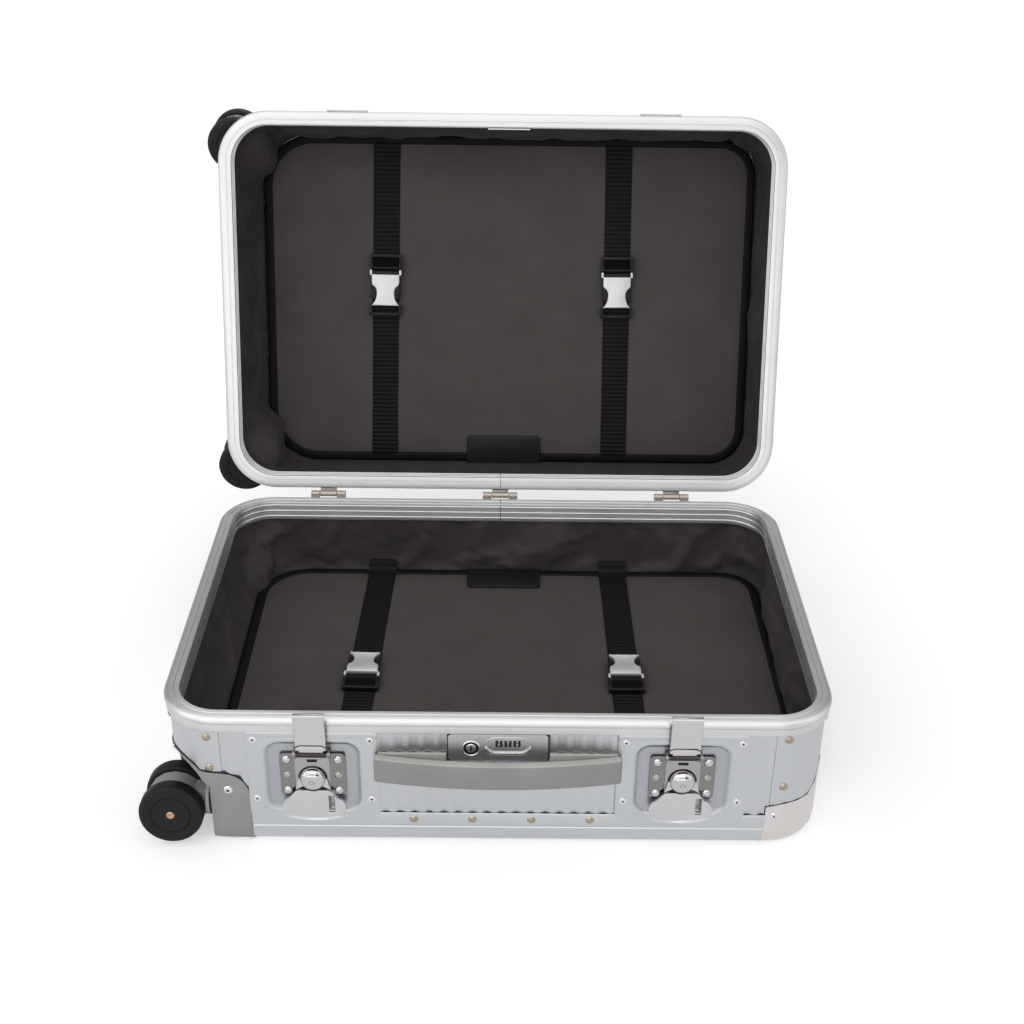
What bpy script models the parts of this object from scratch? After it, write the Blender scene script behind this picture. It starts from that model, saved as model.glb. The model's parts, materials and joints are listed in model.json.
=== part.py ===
"""Wheeled aluminium case, lying open on its base. Metres, +Z up, hinges at +Y, wheels at -X."""

import math

import bmesh
import bpy
from mathutils import Matrix, Vector

# Overall form
RIM_LENGTH = 0.505
RIM_WIDTH = 0.339
RIM_CORNER = 0.045
BASE_HEIGHT = 0.1185
LID_HEIGHT = 0.110
PARTING_GAP = 0.0006
FIT = 0.0003

# Shells
WALL_INSET = 0.004
SHELL_WALL = 0.0014
EDGE_RADIUS = 0.016

# Rim channel
RIM_FACE = 0.012
RIM_INNER_LEG = 0.0185
RIM_LEG_WALL = 0.0015
RIM_BEAD = 0.0055
RIM_FLANGE = 0.0125
RIM_FLANGE_STEP = 0.0015
RIM_FLANGE_WALL = 0.0022
RIM_ROOF = 0.0059

# Hinges
HINGE_SPACING = 0.1595
HINGE_WIDTH = 0.032
HINGE_OFFSET = 0.0045
KNUCKLE_RADIUS = 0.0027
PIN_RADIUS = 0.0012
LEAF_WALL = 0.0014
LEAF_HEIGHT = 0.010
LID_OPEN = 105.5

# Casters
SWIVEL_IN = 0.0185
SWIVEL_DEPTH = 0.034
WHEEL_IN = 0.005
WHEEL_RADIUS = 0.0245
WHEEL_WIDTH = 0.013
FORK_WIDTH = 0.0144
WHEEL_GAP = 0.0006
TRAIL = 0.007
AXLE_RADIUS = 0.003
STEM_RADIUS = 0.005
FORK_RADIUS = 0.0215
FORK_PLATE = 0.0024
FORK_PLATE_RADIUS = 0.016
WELL_CLEARANCE = 0.0018
CUP_WALL = 0.0026
BASE_CASTER_TURN = -6.0
LID_CASTER_TURN = LID_OPEN

# Wheel housings and corner caps
SKIN = 0.0015
HOUSING_EDGE_X = 0.187
HOUSING_TOP = 0.066
HOUSING_END_TOP = 0.085
HOUSING_ROUND = 0.020
HOUSING_REACH = 0.092
CAP_SKIN = 0.0010
CAP_EDGE_X = 0.204
CAP_TOP = 0.036
CAP_END_TOP = 0.067
CAP_REACH = 0.118

# Latches
LATCH_X = 0.138
LATCH_PLATE = (0.098, 0.086)
LATCH_PLATE_DROP = 0.1005
LATCH_PLATE_WALL = 0.0024
LATCH_PLATE_CORNER = 0.006
POCKET = (0.068, 0.0585)
POCKET_RISE = 0.016
POCKET_DEPTH = 0.0012
LATCH_BASE = (0.049, 0.039)
LATCH_BASE_RISE = 0.0295
LATCH_BASE_WALL = 0.0015
LATCH_BASE_CORNER = 0.003
KNOB_RISE = 0.048
KNOB_RADIUS = 0.0096
KNOB_HEIGHT = 0.0068
BOSS_RADIUS = 0.0075
BOSS_HEIGHT = 0.0015
KNOB_AXLE = 0.003
WING_PIVOT_DROP = 0.0125
WING_BARREL = 0.0019
WING_PIN = 0.0008
WING_EAR = 0.0022
WING_NECK = 0.015
WING_WIDTH = 0.047
WING_LENGTH = 0.033
WING_WALL = 0.0018
WING_CUT_RADIUS = 0.017
HOOK_WIDTH = 0.023
HOOK_PIVOT_RISE = 0.070
HOOK_PIVOT_OUT = 0.0057
HOOK_BARREL = 0.0023
HOOK_PIN = 0.0011
HOOK_EAR = 0.0022
HOOK_WALL = 0.0018
HOOK_RISE = 0.039
HOOK_LIP = 0.0040
HOOK_LIP_WALL = 0.0024
HOOK_REST = 5.0
STRIKE_WIDTH = 0.036
STRIKE_LEG = 0.005
STRIKE_LEDGE = 0.0032
STRIKE_HEIGHT = 0.0105
STRIKE_WALL = 0.0012
STRIKE_START = 0.0018

# Lock
LOCK_PLATE = (0.074, 0.024)
LOCK_PLATE_DROP = 0.037
LOCK_PLATE_WALL = 0.0024
LOCK_PLATE_CORNER = 0.003
LOCK_BOX = (0.060, 0.019)
LOCK_BOX_DEPTH = 0.0055
KEY_X = -0.020
KEY_RISE = 0.0115
KEY_RADIUS = 0.0063
KEY_SLOT = (0.0016, 0.0060)
DIAL_PITCH = 0.0067
DIAL_CENTRE_X = 0.0073
DIAL_RISE = 0.0155
DIAL_RADIUS = 0.0042
DIAL_WIDTH = 0.0046
DIAL_PROUD = 0.0009
CATCH_WIDTH = 0.037
CATCH_X = 0.0045
CATCH_DROP = 0.008
CATCH_WALL = 0.0012

# Handles
HANDLE_WALL = 0.0075
HANDLE_BOW = 0.0087
HANDLE_STEPS = 16
HANDLE_PIN = 0.0025
SIDE_HANDLE = (0.184, 0.022)
SIDE_HANDLE_DROP = 0.0415
SIDE_PIN_X = 0.080
TOP_HANDLE = (0.150, 0.020)
TOP_HANDLE_Z = 0.062
TOP_PIN_Y = 0.062
RAIL_DEPTH = 0.0078
RAIL_HEIGHT = 0.012
RAIL_MARGIN = 0.010
PIN_PAST_RAIL = 0.0020

# Trolley
TUBE_Y = 0.062
TUBE_Z = 0.024
TUBE_SECTION = (0.020, 0.013)
TUBE_WALL = 0.0012
TUBE_START_X = -0.190
INNER_TUBE_START_X = -0.175
FOOT_LENGTH = 0.0147
FOOT_MARGIN = 0.003
FOOT_TOP = 0.0367
END_PLATE = (0.168, 0.0235)
END_PLATE_WALL = 0.0025
END_PLATE_Z = 0.02425
GRIP = (0.0124, 0.148, 0.017)
GRIP_ROUND = 0.004
BUTTON = (0.022, 0.009)
BUTTON_DEPTH = 0.006
BUTTON_PROUD = 0.0012

# Lining, boards and straps
LINING_GAP = 0.0004
LINING_WALL = 0.0012
BASE_LINING_FLOOR = 0.037
LID_LINING_FLOOR = 0.012
BOARD_WALL = 0.009
BOARD_CROWN = 0.0015
BOARD_EDGE = 0.0035
BOARD_BORDER = 0.030
BOARD_LEFT_IN = 0.0295
BOARD_RIGHT_IN = 0.0105
BOARD_SIDE_IN = 0.0135
BOARD_CORNER = 0.034
BOARD_WHEEL_CORNER = 0.067
STRAP_X = 0.110
STRAP_WIDTH = 0.025
STRAP_WALL = 0.0015
STRAP_END_IN = 0.006
BUCKLE = (0.031, 0.056, 0.007)
BASE_BUCKLE_Y = -0.012
LID_BUCKLE_Y = -0.012

# Worked out from the sizes above
HALF_L = RIM_LENGTH / 2
HALF_W = RIM_WIDTH / 2
WALL_X = HALF_L - WALL_INSET
WALL_Y = HALF_W - WALL_INSET
WALL_CORNER = RIM_CORNER - WALL_INSET
LID_FACE = BASE_HEIGHT + PARTING_GAP
LID_TOP = LID_FACE + LID_HEIGHT
HINGE_Y = HALF_W + HINGE_OFFSET
HINGE_Z = BASE_HEIGHT + PARTING_GAP / 2
SWIVEL_Y = HALF_W - SWIVEL_IN
WHEEL_X = HALF_L - WHEEL_IN
LATCH_PLATE_BOTTOM = BASE_HEIGHT - LATCH_PLATE_DROP
POCKET_BOTTOM = LATCH_PLATE_BOTTOM + POCKET_RISE
LATCH_BASE_BOTTOM = LATCH_PLATE_BOTTOM + LATCH_BASE_RISE
KNOB_Z = LATCH_PLATE_BOTTOM + KNOB_RISE
HOOK_PIVOT_Z = LATCH_PLATE_BOTTOM + HOOK_PIVOT_RISE
LOCK_PLATE_BOTTOM = BASE_HEIGHT - LOCK_PLATE_DROP
KEY_Z = LOCK_PLATE_BOTTOM + KEY_RISE
DIAL_Z = LOCK_PLATE_BOTTOM + DIAL_RISE
SIDE_HANDLE_Z = BASE_HEIGHT - SIDE_HANDLE_DROP
BOARD_LEFT = -(HALF_L - BOARD_LEFT_IN)
BOARD_RIGHT = HALF_L - BOARD_RIGHT_IN
BOARD_HALF_WIDTH = HALF_W - BOARD_SIDE_IN
STRAP_HALF_LENGTH = BOARD_HALF_WIDTH - STRAP_END_IN
PAIR_HALF = FORK_WIDTH / 2 + WHEEL_GAP + WHEEL_WIDTH
INNER_X = WALL_X - SHELL_WALL
WELL_ROOF_X = -WHEEL_X + WHEEL_RADIUS + 2 * WELL_CLEARANCE + FORK_PLATE

CORNER_STEPS = 6
ROUND_STEPS = 16
WHEEL_STEPS = 20
EDGE_STEPS = 5
SMALL_STEPS = 12
ARCH_STEPS = 10
WELL_STEPS = 5


for old in list(bpy.data.objects):
    bpy.data.objects.remove(old, do_unlink=True)

parts = bpy.data.collections.new("wheeled_case")
tools = bpy.data.collections.new("cutters")
bpy.context.scene.collection.children.link(parts)
bpy.context.scene.collection.children.link(tools)


def finish(name, colour, metallic, roughness):
    """A plain material with the colour and finish of one kind of piece."""
    material = bpy.data.materials.new(name)
    material.use_nodes = True
    shader = material.node_tree.nodes["Principled BSDF"]
    shader.inputs["Base Color"].default_value = (*colour, 1.0)
    shader.inputs["Metallic"].default_value = metallic
    shader.inputs["Roughness"].default_value = roughness
    return material


ALUMINIUM = finish("aluminium", (0.78, 0.79, 0.80), 1.0, 0.38)
CHROME = finish("bright_steel", (0.82, 0.82, 0.82), 1.0, 0.10)
GREY_PLASTIC = finish("grey_plastic", (0.30, 0.31, 0.30), 0.0, 0.45)
BLACK_PLASTIC = finish("black_plastic", (0.02, 0.02, 0.022), 0.0, 0.40)
BLACK_RUBBER = finish("black_rubber", (0.015, 0.015, 0.017), 0.0, 0.65)
GREY_COVER = finish("grey_cover", (0.30, 0.31, 0.31), 0.0, 0.60)
LINING_CLOTH = finish("lining_cloth", (0.035, 0.030, 0.026), 0.0, 0.75)
BOARD_CLOTH = finish("board_cloth", (0.055, 0.052, 0.050), 0.0, 0.80)
WEBBING = finish("webbing", (0.012, 0.012, 0.013), 0.0, 0.80)
GUNMETAL = finish("gunmetal", (0.20, 0.21, 0.22), 1.0, 0.40)


def carrier(name, place, above=None):
    """An empty on a joint's axis; pieces are modelled before it is turned to the rest pose."""
    empty = bpy.data.objects.new(name, None)
    parts.objects.link(empty)
    empty["neutral"] = list(place)
    hang(empty, above)
    offset = Vector(place)
    if above is not None:
        offset = offset - Vector(above["neutral"])
        empty.matrix_parent_inverse = Matrix.Identity(4)
    empty.location = offset
    return empty


def hang(obj, above):
    """Parents a piece that is modelled in world coordinates to an unturned carrier."""
    if above is None:
        return
    obj.parent = above
    obj.matrix_parent_inverse = Matrix.Translation(-Vector(above["neutral"]))


def new_object(name, bm, material, above, is_tool=False):
    """Makes an object from a bmesh, with its faces turned outwards."""
    bmesh.ops.recalc_face_normals(bm, faces=bm.faces)
    mesh = bpy.data.meshes.new(name)
    bm.to_mesh(mesh)
    bm.free()
    obj = bpy.data.objects.new(name, mesh)
    if is_tool:
        tools.objects.link(obj)
        obj.hide_render = True
        obj.display_type = "WIRE"
    else:
        parts.objects.link(obj)
        mesh.materials.append(material)
        mesh.shade_smooth()
        mesh.set_sharp_from_angle(angle=math.radians(30))
    hang(obj, above)
    return obj


def rounded_loop(half_x, half_y, radius, z, centre=(0.0, 0.0), left_radius=None):
    """Points round a rectangle with round corners, at one height."""
    points = []
    for corner, (sign_x, sign_y) in enumerate(((1, 1), (-1, 1), (-1, -1), (1, -1))):
        bend = left_radius if left_radius and sign_x < 0 else radius
        for step in range(CORNER_STEPS + 1):
            angle = math.pi / 2 * (corner + step / CORNER_STEPS)
            x = sign_x * (half_x - bend) + bend * math.cos(angle)
            y = sign_y * (half_y - bend) + bend * math.sin(angle)
            points.append(Vector((centre[0] + x, centre[1] + y, z)))
    return points


def loft(loops, closed=False):
    """Skins a row of loops with equal counts; the ends are capped unless the row closes."""
    bm = bmesh.new()
    rings = [[bm.verts.new(point) for point in loop] for loop in loops]
    pairs = list(zip(rings, rings[1:]))
    if closed:
        pairs.append((rings[-1], rings[0]))
    count = len(rings[0])
    for low, high in pairs:
        for i in range(count):
            j = (i + 1) % count
            bm.faces.new((low[i], low[j], high[j], high[i]))
    if not closed:
        bm.faces.new(rings[0])
        bm.faces.new(rings[-1])
    return bm


def prism(outline, axis, start, end):
    """Extrudes a flat outline along X, Y or Z. The outline holds the two other coordinates."""
    def point(a, b, along):
        if axis == "X":
            return Vector((along, a, b))
        if axis == "Y":
            return Vector((a, along, b))
        return Vector((a, b, along))
    bm = bmesh.new()
    face = bm.faces.new([bm.verts.new(point(a, b, start)) for a, b in outline])
    grown = bmesh.ops.extrude_face_region(bm, geom=[face])
    moved = [item for item in grown["geom"] if isinstance(item, bmesh.types.BMVert)]
    bmesh.ops.translate(bm, verts=moved, vec=point(0.0, 0.0, end - start))
    return bm


def block(size, centre, bevel=0.0):
    """A box, with rounded edges where a bevel is given."""
    bm = bmesh.new()
    bmesh.ops.create_cube(bm, size=1.0)
    bmesh.ops.scale(bm, vec=Vector(size), verts=bm.verts)
    bmesh.ops.translate(bm, vec=Vector(centre), verts=bm.verts)
    if bevel > 0.0:
        bmesh.ops.bevel(bm, geom=bm.edges[:], offset=bevel, segments=2, profile=0.5,
                        affect="EDGES", material=-1)
    return bm


AXIS_TURN = {
    "X": Matrix.Rotation(math.pi / 2, 4, "Y"),
    "Y": Matrix.Rotation(-math.pi / 2, 4, "X"),
    "Z": Matrix.Identity(4),
}


def rod(radius, axis, start, end, centre, steps=SMALL_STEPS):
    """A round bar along one axis; centre holds the two other coordinates in order."""
    bm = bmesh.new()
    bmesh.ops.create_cone(bm, cap_ends=True, segments=steps, radius1=radius, radius2=radius,
                          depth=end - start)
    bmesh.ops.transform(bm, matrix=AXIS_TURN[axis], verts=bm.verts)
    middle = (start + end) / 2
    place = {"X": (middle, *centre), "Y": (centre[0], middle, centre[1]), "Z": (*centre, middle)}
    bmesh.ops.translate(bm, vec=Vector(place[axis]), verts=bm.verts)
    return bm


def turned(profile, axis, place, steps=ROUND_STEPS):
    """Spins a profile of (radius, height) points about an axis through a place."""
    bm = bmesh.new()
    points = [bm.verts.new((radius, 0.0, height)) for radius, height in profile]
    edges = [bm.edges.new(pair) for pair in zip(points, points[1:])]
    bmesh.ops.spin(bm, geom=points + edges, cent=(0, 0, 0), axis=(0, 0, 1),
                   angle=2 * math.pi, steps=steps, use_merge=True)
    bmesh.ops.remove_doubles(bm, verts=bm.verts, dist=1e-6)
    bmesh.ops.transform(bm, matrix=AXIS_TURN[axis], verts=bm.verts)
    bmesh.ops.translate(bm, vec=Vector(place), verts=bm.verts)
    return bm


def boolean(target, operation, bm, above=None):
    """Cuts, joins or keeps a target by a shape, with a modifier that stays on it."""
    tool = new_object(f"{target.name}_{operation.lower()}_{len(target.modifiers)}", bm, None,
                      above, is_tool=True)
    modifier = target.modifiers.new(operation.lower(), "BOOLEAN")
    modifier.operation = operation
    modifier.object = tool
    return tool


def box_from(low, high, bevel=0.0):
    """A box between two corners."""
    low = Vector(low)
    high = Vector(high)
    return block(high - low, (low + high) / 2, bevel)


def flip(z, in_lid):
    """Heights above the base's floor; in the lid they are counted down from its top."""
    return LID_TOP - z if in_lid else z


def form_loops(offset, top, in_lid):
    """Outer form of one shell, grown by an offset, from its floor to a height."""
    loops = []
    radius = EDGE_RADIUS + offset
    for step in range(EDGE_STEPS + 1):
        angle = math.pi / 2 * step / EDGE_STEPS
        inset = EDGE_RADIUS - radius * math.sin(angle)
        z = EDGE_RADIUS - radius * math.cos(angle)
        loops.append(rounded_loop(WALL_X - inset, WALL_Y - inset, WALL_CORNER - inset,
                                  flip(z, in_lid)))
    loops.append(rounded_loop(WALL_X + offset, WALL_Y + offset, WALL_CORNER + offset,
                              flip(top, in_lid)))
    return loops


def well_radius(x):
    """Radius swept by a wheel pair about its swivel, with clearance, at a distance along X."""
    rise = min(max(x + WHEEL_X, 0.0), WHEEL_RADIUS)
    chord = math.sqrt(WHEEL_RADIUS ** 2 - rise ** 2)
    return math.hypot(PAIR_HALF, TRAIL + chord) + WELL_CLEARANCE


def well_profile(grow):
    """Half profile of the wheel well: (x, radius) from its roof to outside the case."""
    points = [(WELL_ROOF_X + grow, well_radius(-WHEEL_X + WHEEL_RADIUS) + grow)]
    for step in range(WELL_STEPS):
        angle = math.pi / 2 * (0.8 - 0.8 * step / (WELL_STEPS - 1))
        x = -WHEEL_X + WHEEL_RADIUS * math.sin(angle)
        points.append((x + WELL_CLEARANCE + grow, well_radius(x) + grow))
    points.append((-HALF_L - WHEEL_RADIUS, well_radius(-WHEEL_X) + grow))
    return points


def well(side, grow, in_lid):
    """Wheel well: an arch over the swivel axis that runs straight down and is open at the floor."""
    axis_z = flip(SWIVEL_DEPTH, in_lid)
    up = -1 if in_lid else 1
    loops = []
    for x, radius in well_profile(grow):
        arch = [(radius, -SWIVEL_DEPTH - EDGE_RADIUS)]
        for step in range(ARCH_STEPS + 1):
            angle = math.pi * step / ARCH_STEPS
            arch.append((radius * math.cos(angle), radius * math.sin(angle)))
        arch.append((-radius, -SWIVEL_DEPTH - EDGE_RADIUS))
        loops.append([Vector((x, side * SWIVEL_Y + a, axis_z + up * b)) for a, b in arch])
    return loft(loops)


def cut_wells(target, grow, in_lid, above):
    """Clears a piece from both wheel wells."""
    for side in (-1, 1):
        boolean(target, "DIFFERENCE", well(side, grow, in_lid), above)


def shell(name, height, in_lid, above):
    """Drawn sheet shell: rounded walls and floor of one thickness."""
    top = height - RIM_ROOF - FIT
    outer = form_loops(0.0, top, in_lid)
    inner = form_loops(-SHELL_WALL, top, in_lid)
    obj = new_object(name, loft(outer + inner[::-1]), ALUMINIUM, above)
    cut_wells(obj, CUP_WALL + FIT, in_lid, above)
    return obj


def rim(name, face_z, away, above):
    """Channel frame round the shell's mouth; away is the side its legs point to."""
    deep = RIM_INNER_LEG
    section = [
        (0.0, 0.0), (RIM_FACE, 0.0), (RIM_FACE, deep), (RIM_FACE - RIM_LEG_WALL, deep),
        (RIM_FACE - RIM_LEG_WALL, RIM_ROOF),
        (RIM_FLANGE_STEP + RIM_FLANGE_WALL, RIM_ROOF),
        (RIM_FLANGE_STEP + RIM_FLANGE_WALL, RIM_FLANGE), (RIM_FLANGE_STEP, RIM_FLANGE),
        (RIM_FLANGE_STEP, RIM_BEAD), (0.0, RIM_BEAD),
    ]
    loops = [rounded_loop(HALF_L - s, HALF_W - s, RIM_CORNER - s, face_z + away * d)
             for s, d in section]
    return new_object(name, loft(loops, closed=True), ALUMINIUM, above)


def lining(name, depth_floor, height, in_lid, above):
    """Cloth lining: a thin tray just inside the shell."""
    grow = -(SHELL_WALL + LINING_GAP)
    thin = grow - LINING_WALL
    top = height - RIM_ROOF - 2 * FIT
    loops = []
    for offset, floor in ((grow, depth_floor), (thin, depth_floor + LINING_WALL)):
        slope = max(EDGE_RADIUS - floor, 0.0)
        reach = math.sqrt(max((EDGE_RADIUS + offset) ** 2 - slope ** 2, 0.0))
        inset = EDGE_RADIUS - reach if slope > 0.0 else -offset
        low = rounded_loop(WALL_X - inset, WALL_Y - inset, WALL_CORNER - inset,
                           flip(floor, in_lid))
        mid = rounded_loop(WALL_X + offset, WALL_Y + offset, WALL_CORNER + offset,
                           flip(max(floor, EDGE_RADIUS) + LINING_WALL, in_lid))
        high = rounded_loop(WALL_X + offset, WALL_Y + offset, WALL_CORNER + offset,
                            flip(top, in_lid))
        loops.append([low, mid, high])
    obj = new_object(name, loft(loops[0] + loops[1][::-1]), LINING_CLOTH, above)
    cut_wells(obj, CUP_WALL + 2 * FIT, in_lid, above)
    return obj


def board(name, depth_floor, in_lid, above):
    """Packing board: flat, softly crowned, with large corners that clear the wheel wells."""
    centre = ((BOARD_LEFT + BOARD_RIGHT) / 2, 0.0)
    half_x = (BOARD_RIGHT - BOARD_LEFT) / 2
    low = depth_floor + LINING_WALL + FIT
    steps = ((BOARD_EDGE, low), (0.0, low + BOARD_WALL * 0.3), (0.0, low + BOARD_WALL * 0.6),
             (BOARD_EDGE, low + BOARD_WALL - BOARD_CROWN), (BOARD_BORDER, low + BOARD_WALL))
    loops = [rounded_loop(half_x - s, BOARD_HALF_WIDTH - s, BOARD_CORNER - s, flip(z, in_lid), centre,
                          BOARD_WHEEL_CORNER - s) for s, z in steps]
    return new_object(name, loft(loops), BOARD_CLOTH, above)


def strap(name, x, depth_floor, buckle_y, in_lid, above):
    """Packing strap with its buckle, lying on the board."""
    low = depth_floor + LINING_WALL + BOARD_WALL + 2 * FIT
    web_z = flip(low + STRAP_WALL / 2, in_lid)
    obj = new_object(name, block((STRAP_WIDTH, 2 * STRAP_HALF_LENGTH, STRAP_WALL), (x, 0.0, web_z)),
                     WEBBING, above)
    buckle_z = flip(low + BUCKLE[2] / 2, in_lid)
    boolean(obj, "UNION", block(BUCKLE, (x, buckle_y, buckle_z), STRAP_WALL), above)
    return obj


def housing(name, side, in_lid, above):
    """Wheel housing: an outer skin round the corner joined to a cup for the swivelling wheels."""
    far_x = -HALF_L - WHEEL_RADIUS
    floor = FIT
    outline = [(far_x, floor), (-HOUSING_EDGE_X, floor)]
    for step in range(CORNER_STEPS + 1):
        angle = math.pi / 2 * step / CORNER_STEPS
        outline.append((-HOUSING_EDGE_X - HOUSING_ROUND * (1 - math.cos(angle)),
                        HOUSING_TOP - HOUSING_ROUND * (1 - math.sin(angle))))
    outline += [(-WALL_X + RIM_CORNER / 2, HOUSING_TOP), (far_x, HOUSING_END_TOP)]
    outline = [(x, flip(z, in_lid)) for x, z in outline]
    ends = (side * HOUSING_REACH, side * (HALF_W + WALL_INSET))
    obj = new_object(name, loft(form_loops(SKIN + FIT, BASE_HEIGHT, in_lid)), GREY_PLASTIC, above)
    boolean(obj, "INTERSECT", prism(outline, "Y", min(ends), max(ends)), above)
    boolean(obj, "DIFFERENCE", loft(form_loops(FIT, BASE_HEIGHT + FIT, in_lid)), above)
    cup = new_object(f"{name}_cup", well(side, CUP_WALL, in_lid), None, above, is_tool=True)
    boolean(cup, "INTERSECT", loft(form_loops(SKIN + FIT, BASE_HEIGHT + 2 * FIT, in_lid)), above)
    low = flip(FIT, in_lid)
    reach = 2 * RIM_LENGTH
    ends = (low, low - reach if in_lid else low + reach)
    boolean(cup, "INTERSECT", prism([(-reach, -reach), (reach, -reach), (reach, reach), (-reach, reach)],
                                    "Z", min(ends), max(ends)), above)
    join = obj.modifiers.new("union", "BOOLEAN")
    join.operation = "UNION"
    join.object = cup
    boolean(obj, "DIFFERENCE", well(side, 0.0, in_lid), above)
    axis = (side * SWIVEL_Y, flip(SWIVEL_DEPTH, in_lid))
    boolean(obj, "DIFFERENCE", rod(STEM_RADIUS + FIT, "X", WELL_ROOF_X - CUP_WALL,
                                   WELL_ROOF_X + 2 * CUP_WALL, axis, ROUND_STEPS), above)
    return obj


def corner_cap(name, side, in_lid, above):
    """Pressed bright cap over a right-hand corner."""
    far_x = HALF_L + WHEEL_RADIUS
    outline = [(CAP_EDGE_X, FIT), (far_x, FIT), (far_x, CAP_END_TOP), (WALL_X, CAP_END_TOP),
               (WALL_X - RIM_CORNER / 2, CAP_TOP + 0.4 * (CAP_END_TOP - CAP_TOP)), (CAP_EDGE_X, CAP_TOP)]
    outline = [(x, flip(z, in_lid)) for x, z in outline]
    ends = (side * CAP_REACH, side * (HALF_W + WALL_INSET))
    obj = new_object(name, loft(form_loops(CAP_SKIN + FIT, BASE_HEIGHT, in_lid)), CHROME, above)
    boolean(obj, "INTERSECT", prism(outline, "Y", min(ends), max(ends)), above)
    boolean(obj, "DIFFERENCE", loft(form_loops(FIT, BASE_HEIGHT + FIT, in_lid)), above)
    return obj


def caster(name, side, in_lid, above, turn):
    """Swivel fork with its twin wheels on one axle; it hangs from an empty on the swivel axis."""
    axis_y = side * SWIVEL_Y
    axis_z = flip(SWIVEL_DEPTH, in_lid)
    swivel = carrier(f"{name}_swivel_axis", (-WHEEL_X, axis_y, axis_z), above)
    axle_z = axis_z - TRAIL
    roof = WELL_ROOF_X - WELL_CLEARANCE
    fork = new_object(f"{name}_fork", rod(FORK_RADIUS, "Y", axis_y - FORK_WIDTH / 2,
                                          axis_y + FORK_WIDTH / 2, (-WHEEL_X, axle_z), ROUND_STEPS),
                      GREY_PLASTIC, swivel)
    boolean(fork, "UNION", box_from((-WHEEL_X + FORK_RADIUS / 2, axis_y - FORK_WIDTH / 2 + FIT,
                                     axis_z - FORK_WIDTH),
                                    (roof - FORK_PLATE / 2, axis_y + FORK_WIDTH / 2 - FIT,
                                     axis_z + FORK_WIDTH / 2)), swivel)
    boolean(fork, "UNION", rod(FORK_PLATE_RADIUS, "X", roof - FORK_PLATE, roof,
                               (axis_y, axis_z), ROUND_STEPS), swivel)
    boolean(fork, "UNION", rod(STEM_RADIUS, "X", roof - FORK_PLATE / 2, WELL_ROOF_X + CUP_WALL,
                               (axis_y, axis_z), ROUND_STEPS), swivel)
    boolean(fork, "DIFFERENCE", rod(AXLE_RADIUS + FIT, "Y", axis_y - FORK_WIDTH, axis_y + FORK_WIDTH,
                                    (-WHEEL_X, axle_z), ROUND_STEPS), swivel)
    axle = carrier(f"{name}_axle", (-WHEEL_X, axis_y, axle_z), swivel)
    half = PAIR_HALF
    inner = FORK_WIDTH / 2 + WHEEL_GAP
    round_edge = WHEEL_WIDTH / 4
    face = WHEEL_RADIUS * 0.62
    step = WHEEL_WIDTH / 16
    outer = [(0.0, half), (AXLE_RADIUS, half), (face, half - step / 2), (face + step, half - step),
             (WHEEL_RADIUS - round_edge, half - step / 2), (WHEEL_RADIUS, half - round_edge),
             (WHEEL_RADIUS, inner + round_edge), (WHEEL_RADIUS - round_edge, inner),
             (AXLE_RADIUS, inner)]
    profile = outer + [(r, -z) for r, z in reversed(outer)]
    new_object(f"{name}_wheels", turned(profile, "Y", (-WHEEL_X, axis_y, axle_z), WHEEL_STEPS),
               BLACK_RUBBER, axle)
    swivel.rotation_euler.x = math.radians(turn)


def hinge(name, x):
    """Hinge leaf and pin on the base rim. The lid's knuckle is part of the lid rim's leaf."""
    half = HINGE_WIDTH / 2
    obj = new_object(name, box_from((x - half, HALF_W + FIT, HINGE_Z - LEAF_HEIGHT),
                                    (x + half, HALF_W + FIT + LEAF_WALL, HINGE_Z - KNUCKLE_RADIUS)),
                     CHROME, None)
    knuckle = HINGE_WIDTH / 4
    for end in (-1, 1):
        low = min(end * half, end * (half - knuckle))
        boolean(obj, "UNION", rod(KNUCKLE_RADIUS, "X", x + low, x + low + knuckle, (HINGE_Y, HINGE_Z)))
        boolean(obj, "UNION", box_from((x + low, HALF_W + FIT, HINGE_Z - KNUCKLE_RADIUS - LEAF_WALL),
                                       (x + low + knuckle, HINGE_Y, HINGE_Z - KNUCKLE_RADIUS / 2)))
    boolean(obj, "UNION", rod(PIN_RADIUS, "X", x - half + FIT, x + half - FIT, (HINGE_Y, HINGE_Z)))
    return obj


def hinge_lid_leaf(target, x, above):
    """Middle knuckle of a hinge, joined to the lid rim."""
    half = HINGE_WIDTH / 4 - FIT
    boolean(target, "UNION", box_from((x - half, HALF_W - RIM_FLANGE_STEP, HINGE_Z + KNUCKLE_RADIUS / 2),
                                      (x + half, HINGE_Y, HINGE_Z + KNUCKLE_RADIUS + LEAF_WALL)), above)
    boolean(target, "UNION", rod(KNUCKLE_RADIUS, "X", x - half, x + half, (HINGE_Y, HINGE_Z)), above)
    boolean(target, "DIFFERENCE", rod(PIN_RADIUS + FIT, "X", x - HINGE_WIDTH, x + HINGE_WIDTH,
                                      (HINGE_Y, HINGE_Z)), above)


def front(out):
    """Y of a plane that stands out from the front wall."""
    return -WALL_Y - out


def wall_plate(name, size, x, bottom, low, high, corner, material, above=None):
    """A rounded plate on the front wall, from one distance off it to another."""
    loops = []
    for out in (low, high):
        flat = rounded_loop(size[0] / 2, size[1] / 2, corner, 0.0)
        loops.append([Vector((x + p.x, front(out), bottom + size[1] / 2 + p.y)) for p in flat])
    return new_object(name, loft(loops), material, above)


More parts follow.
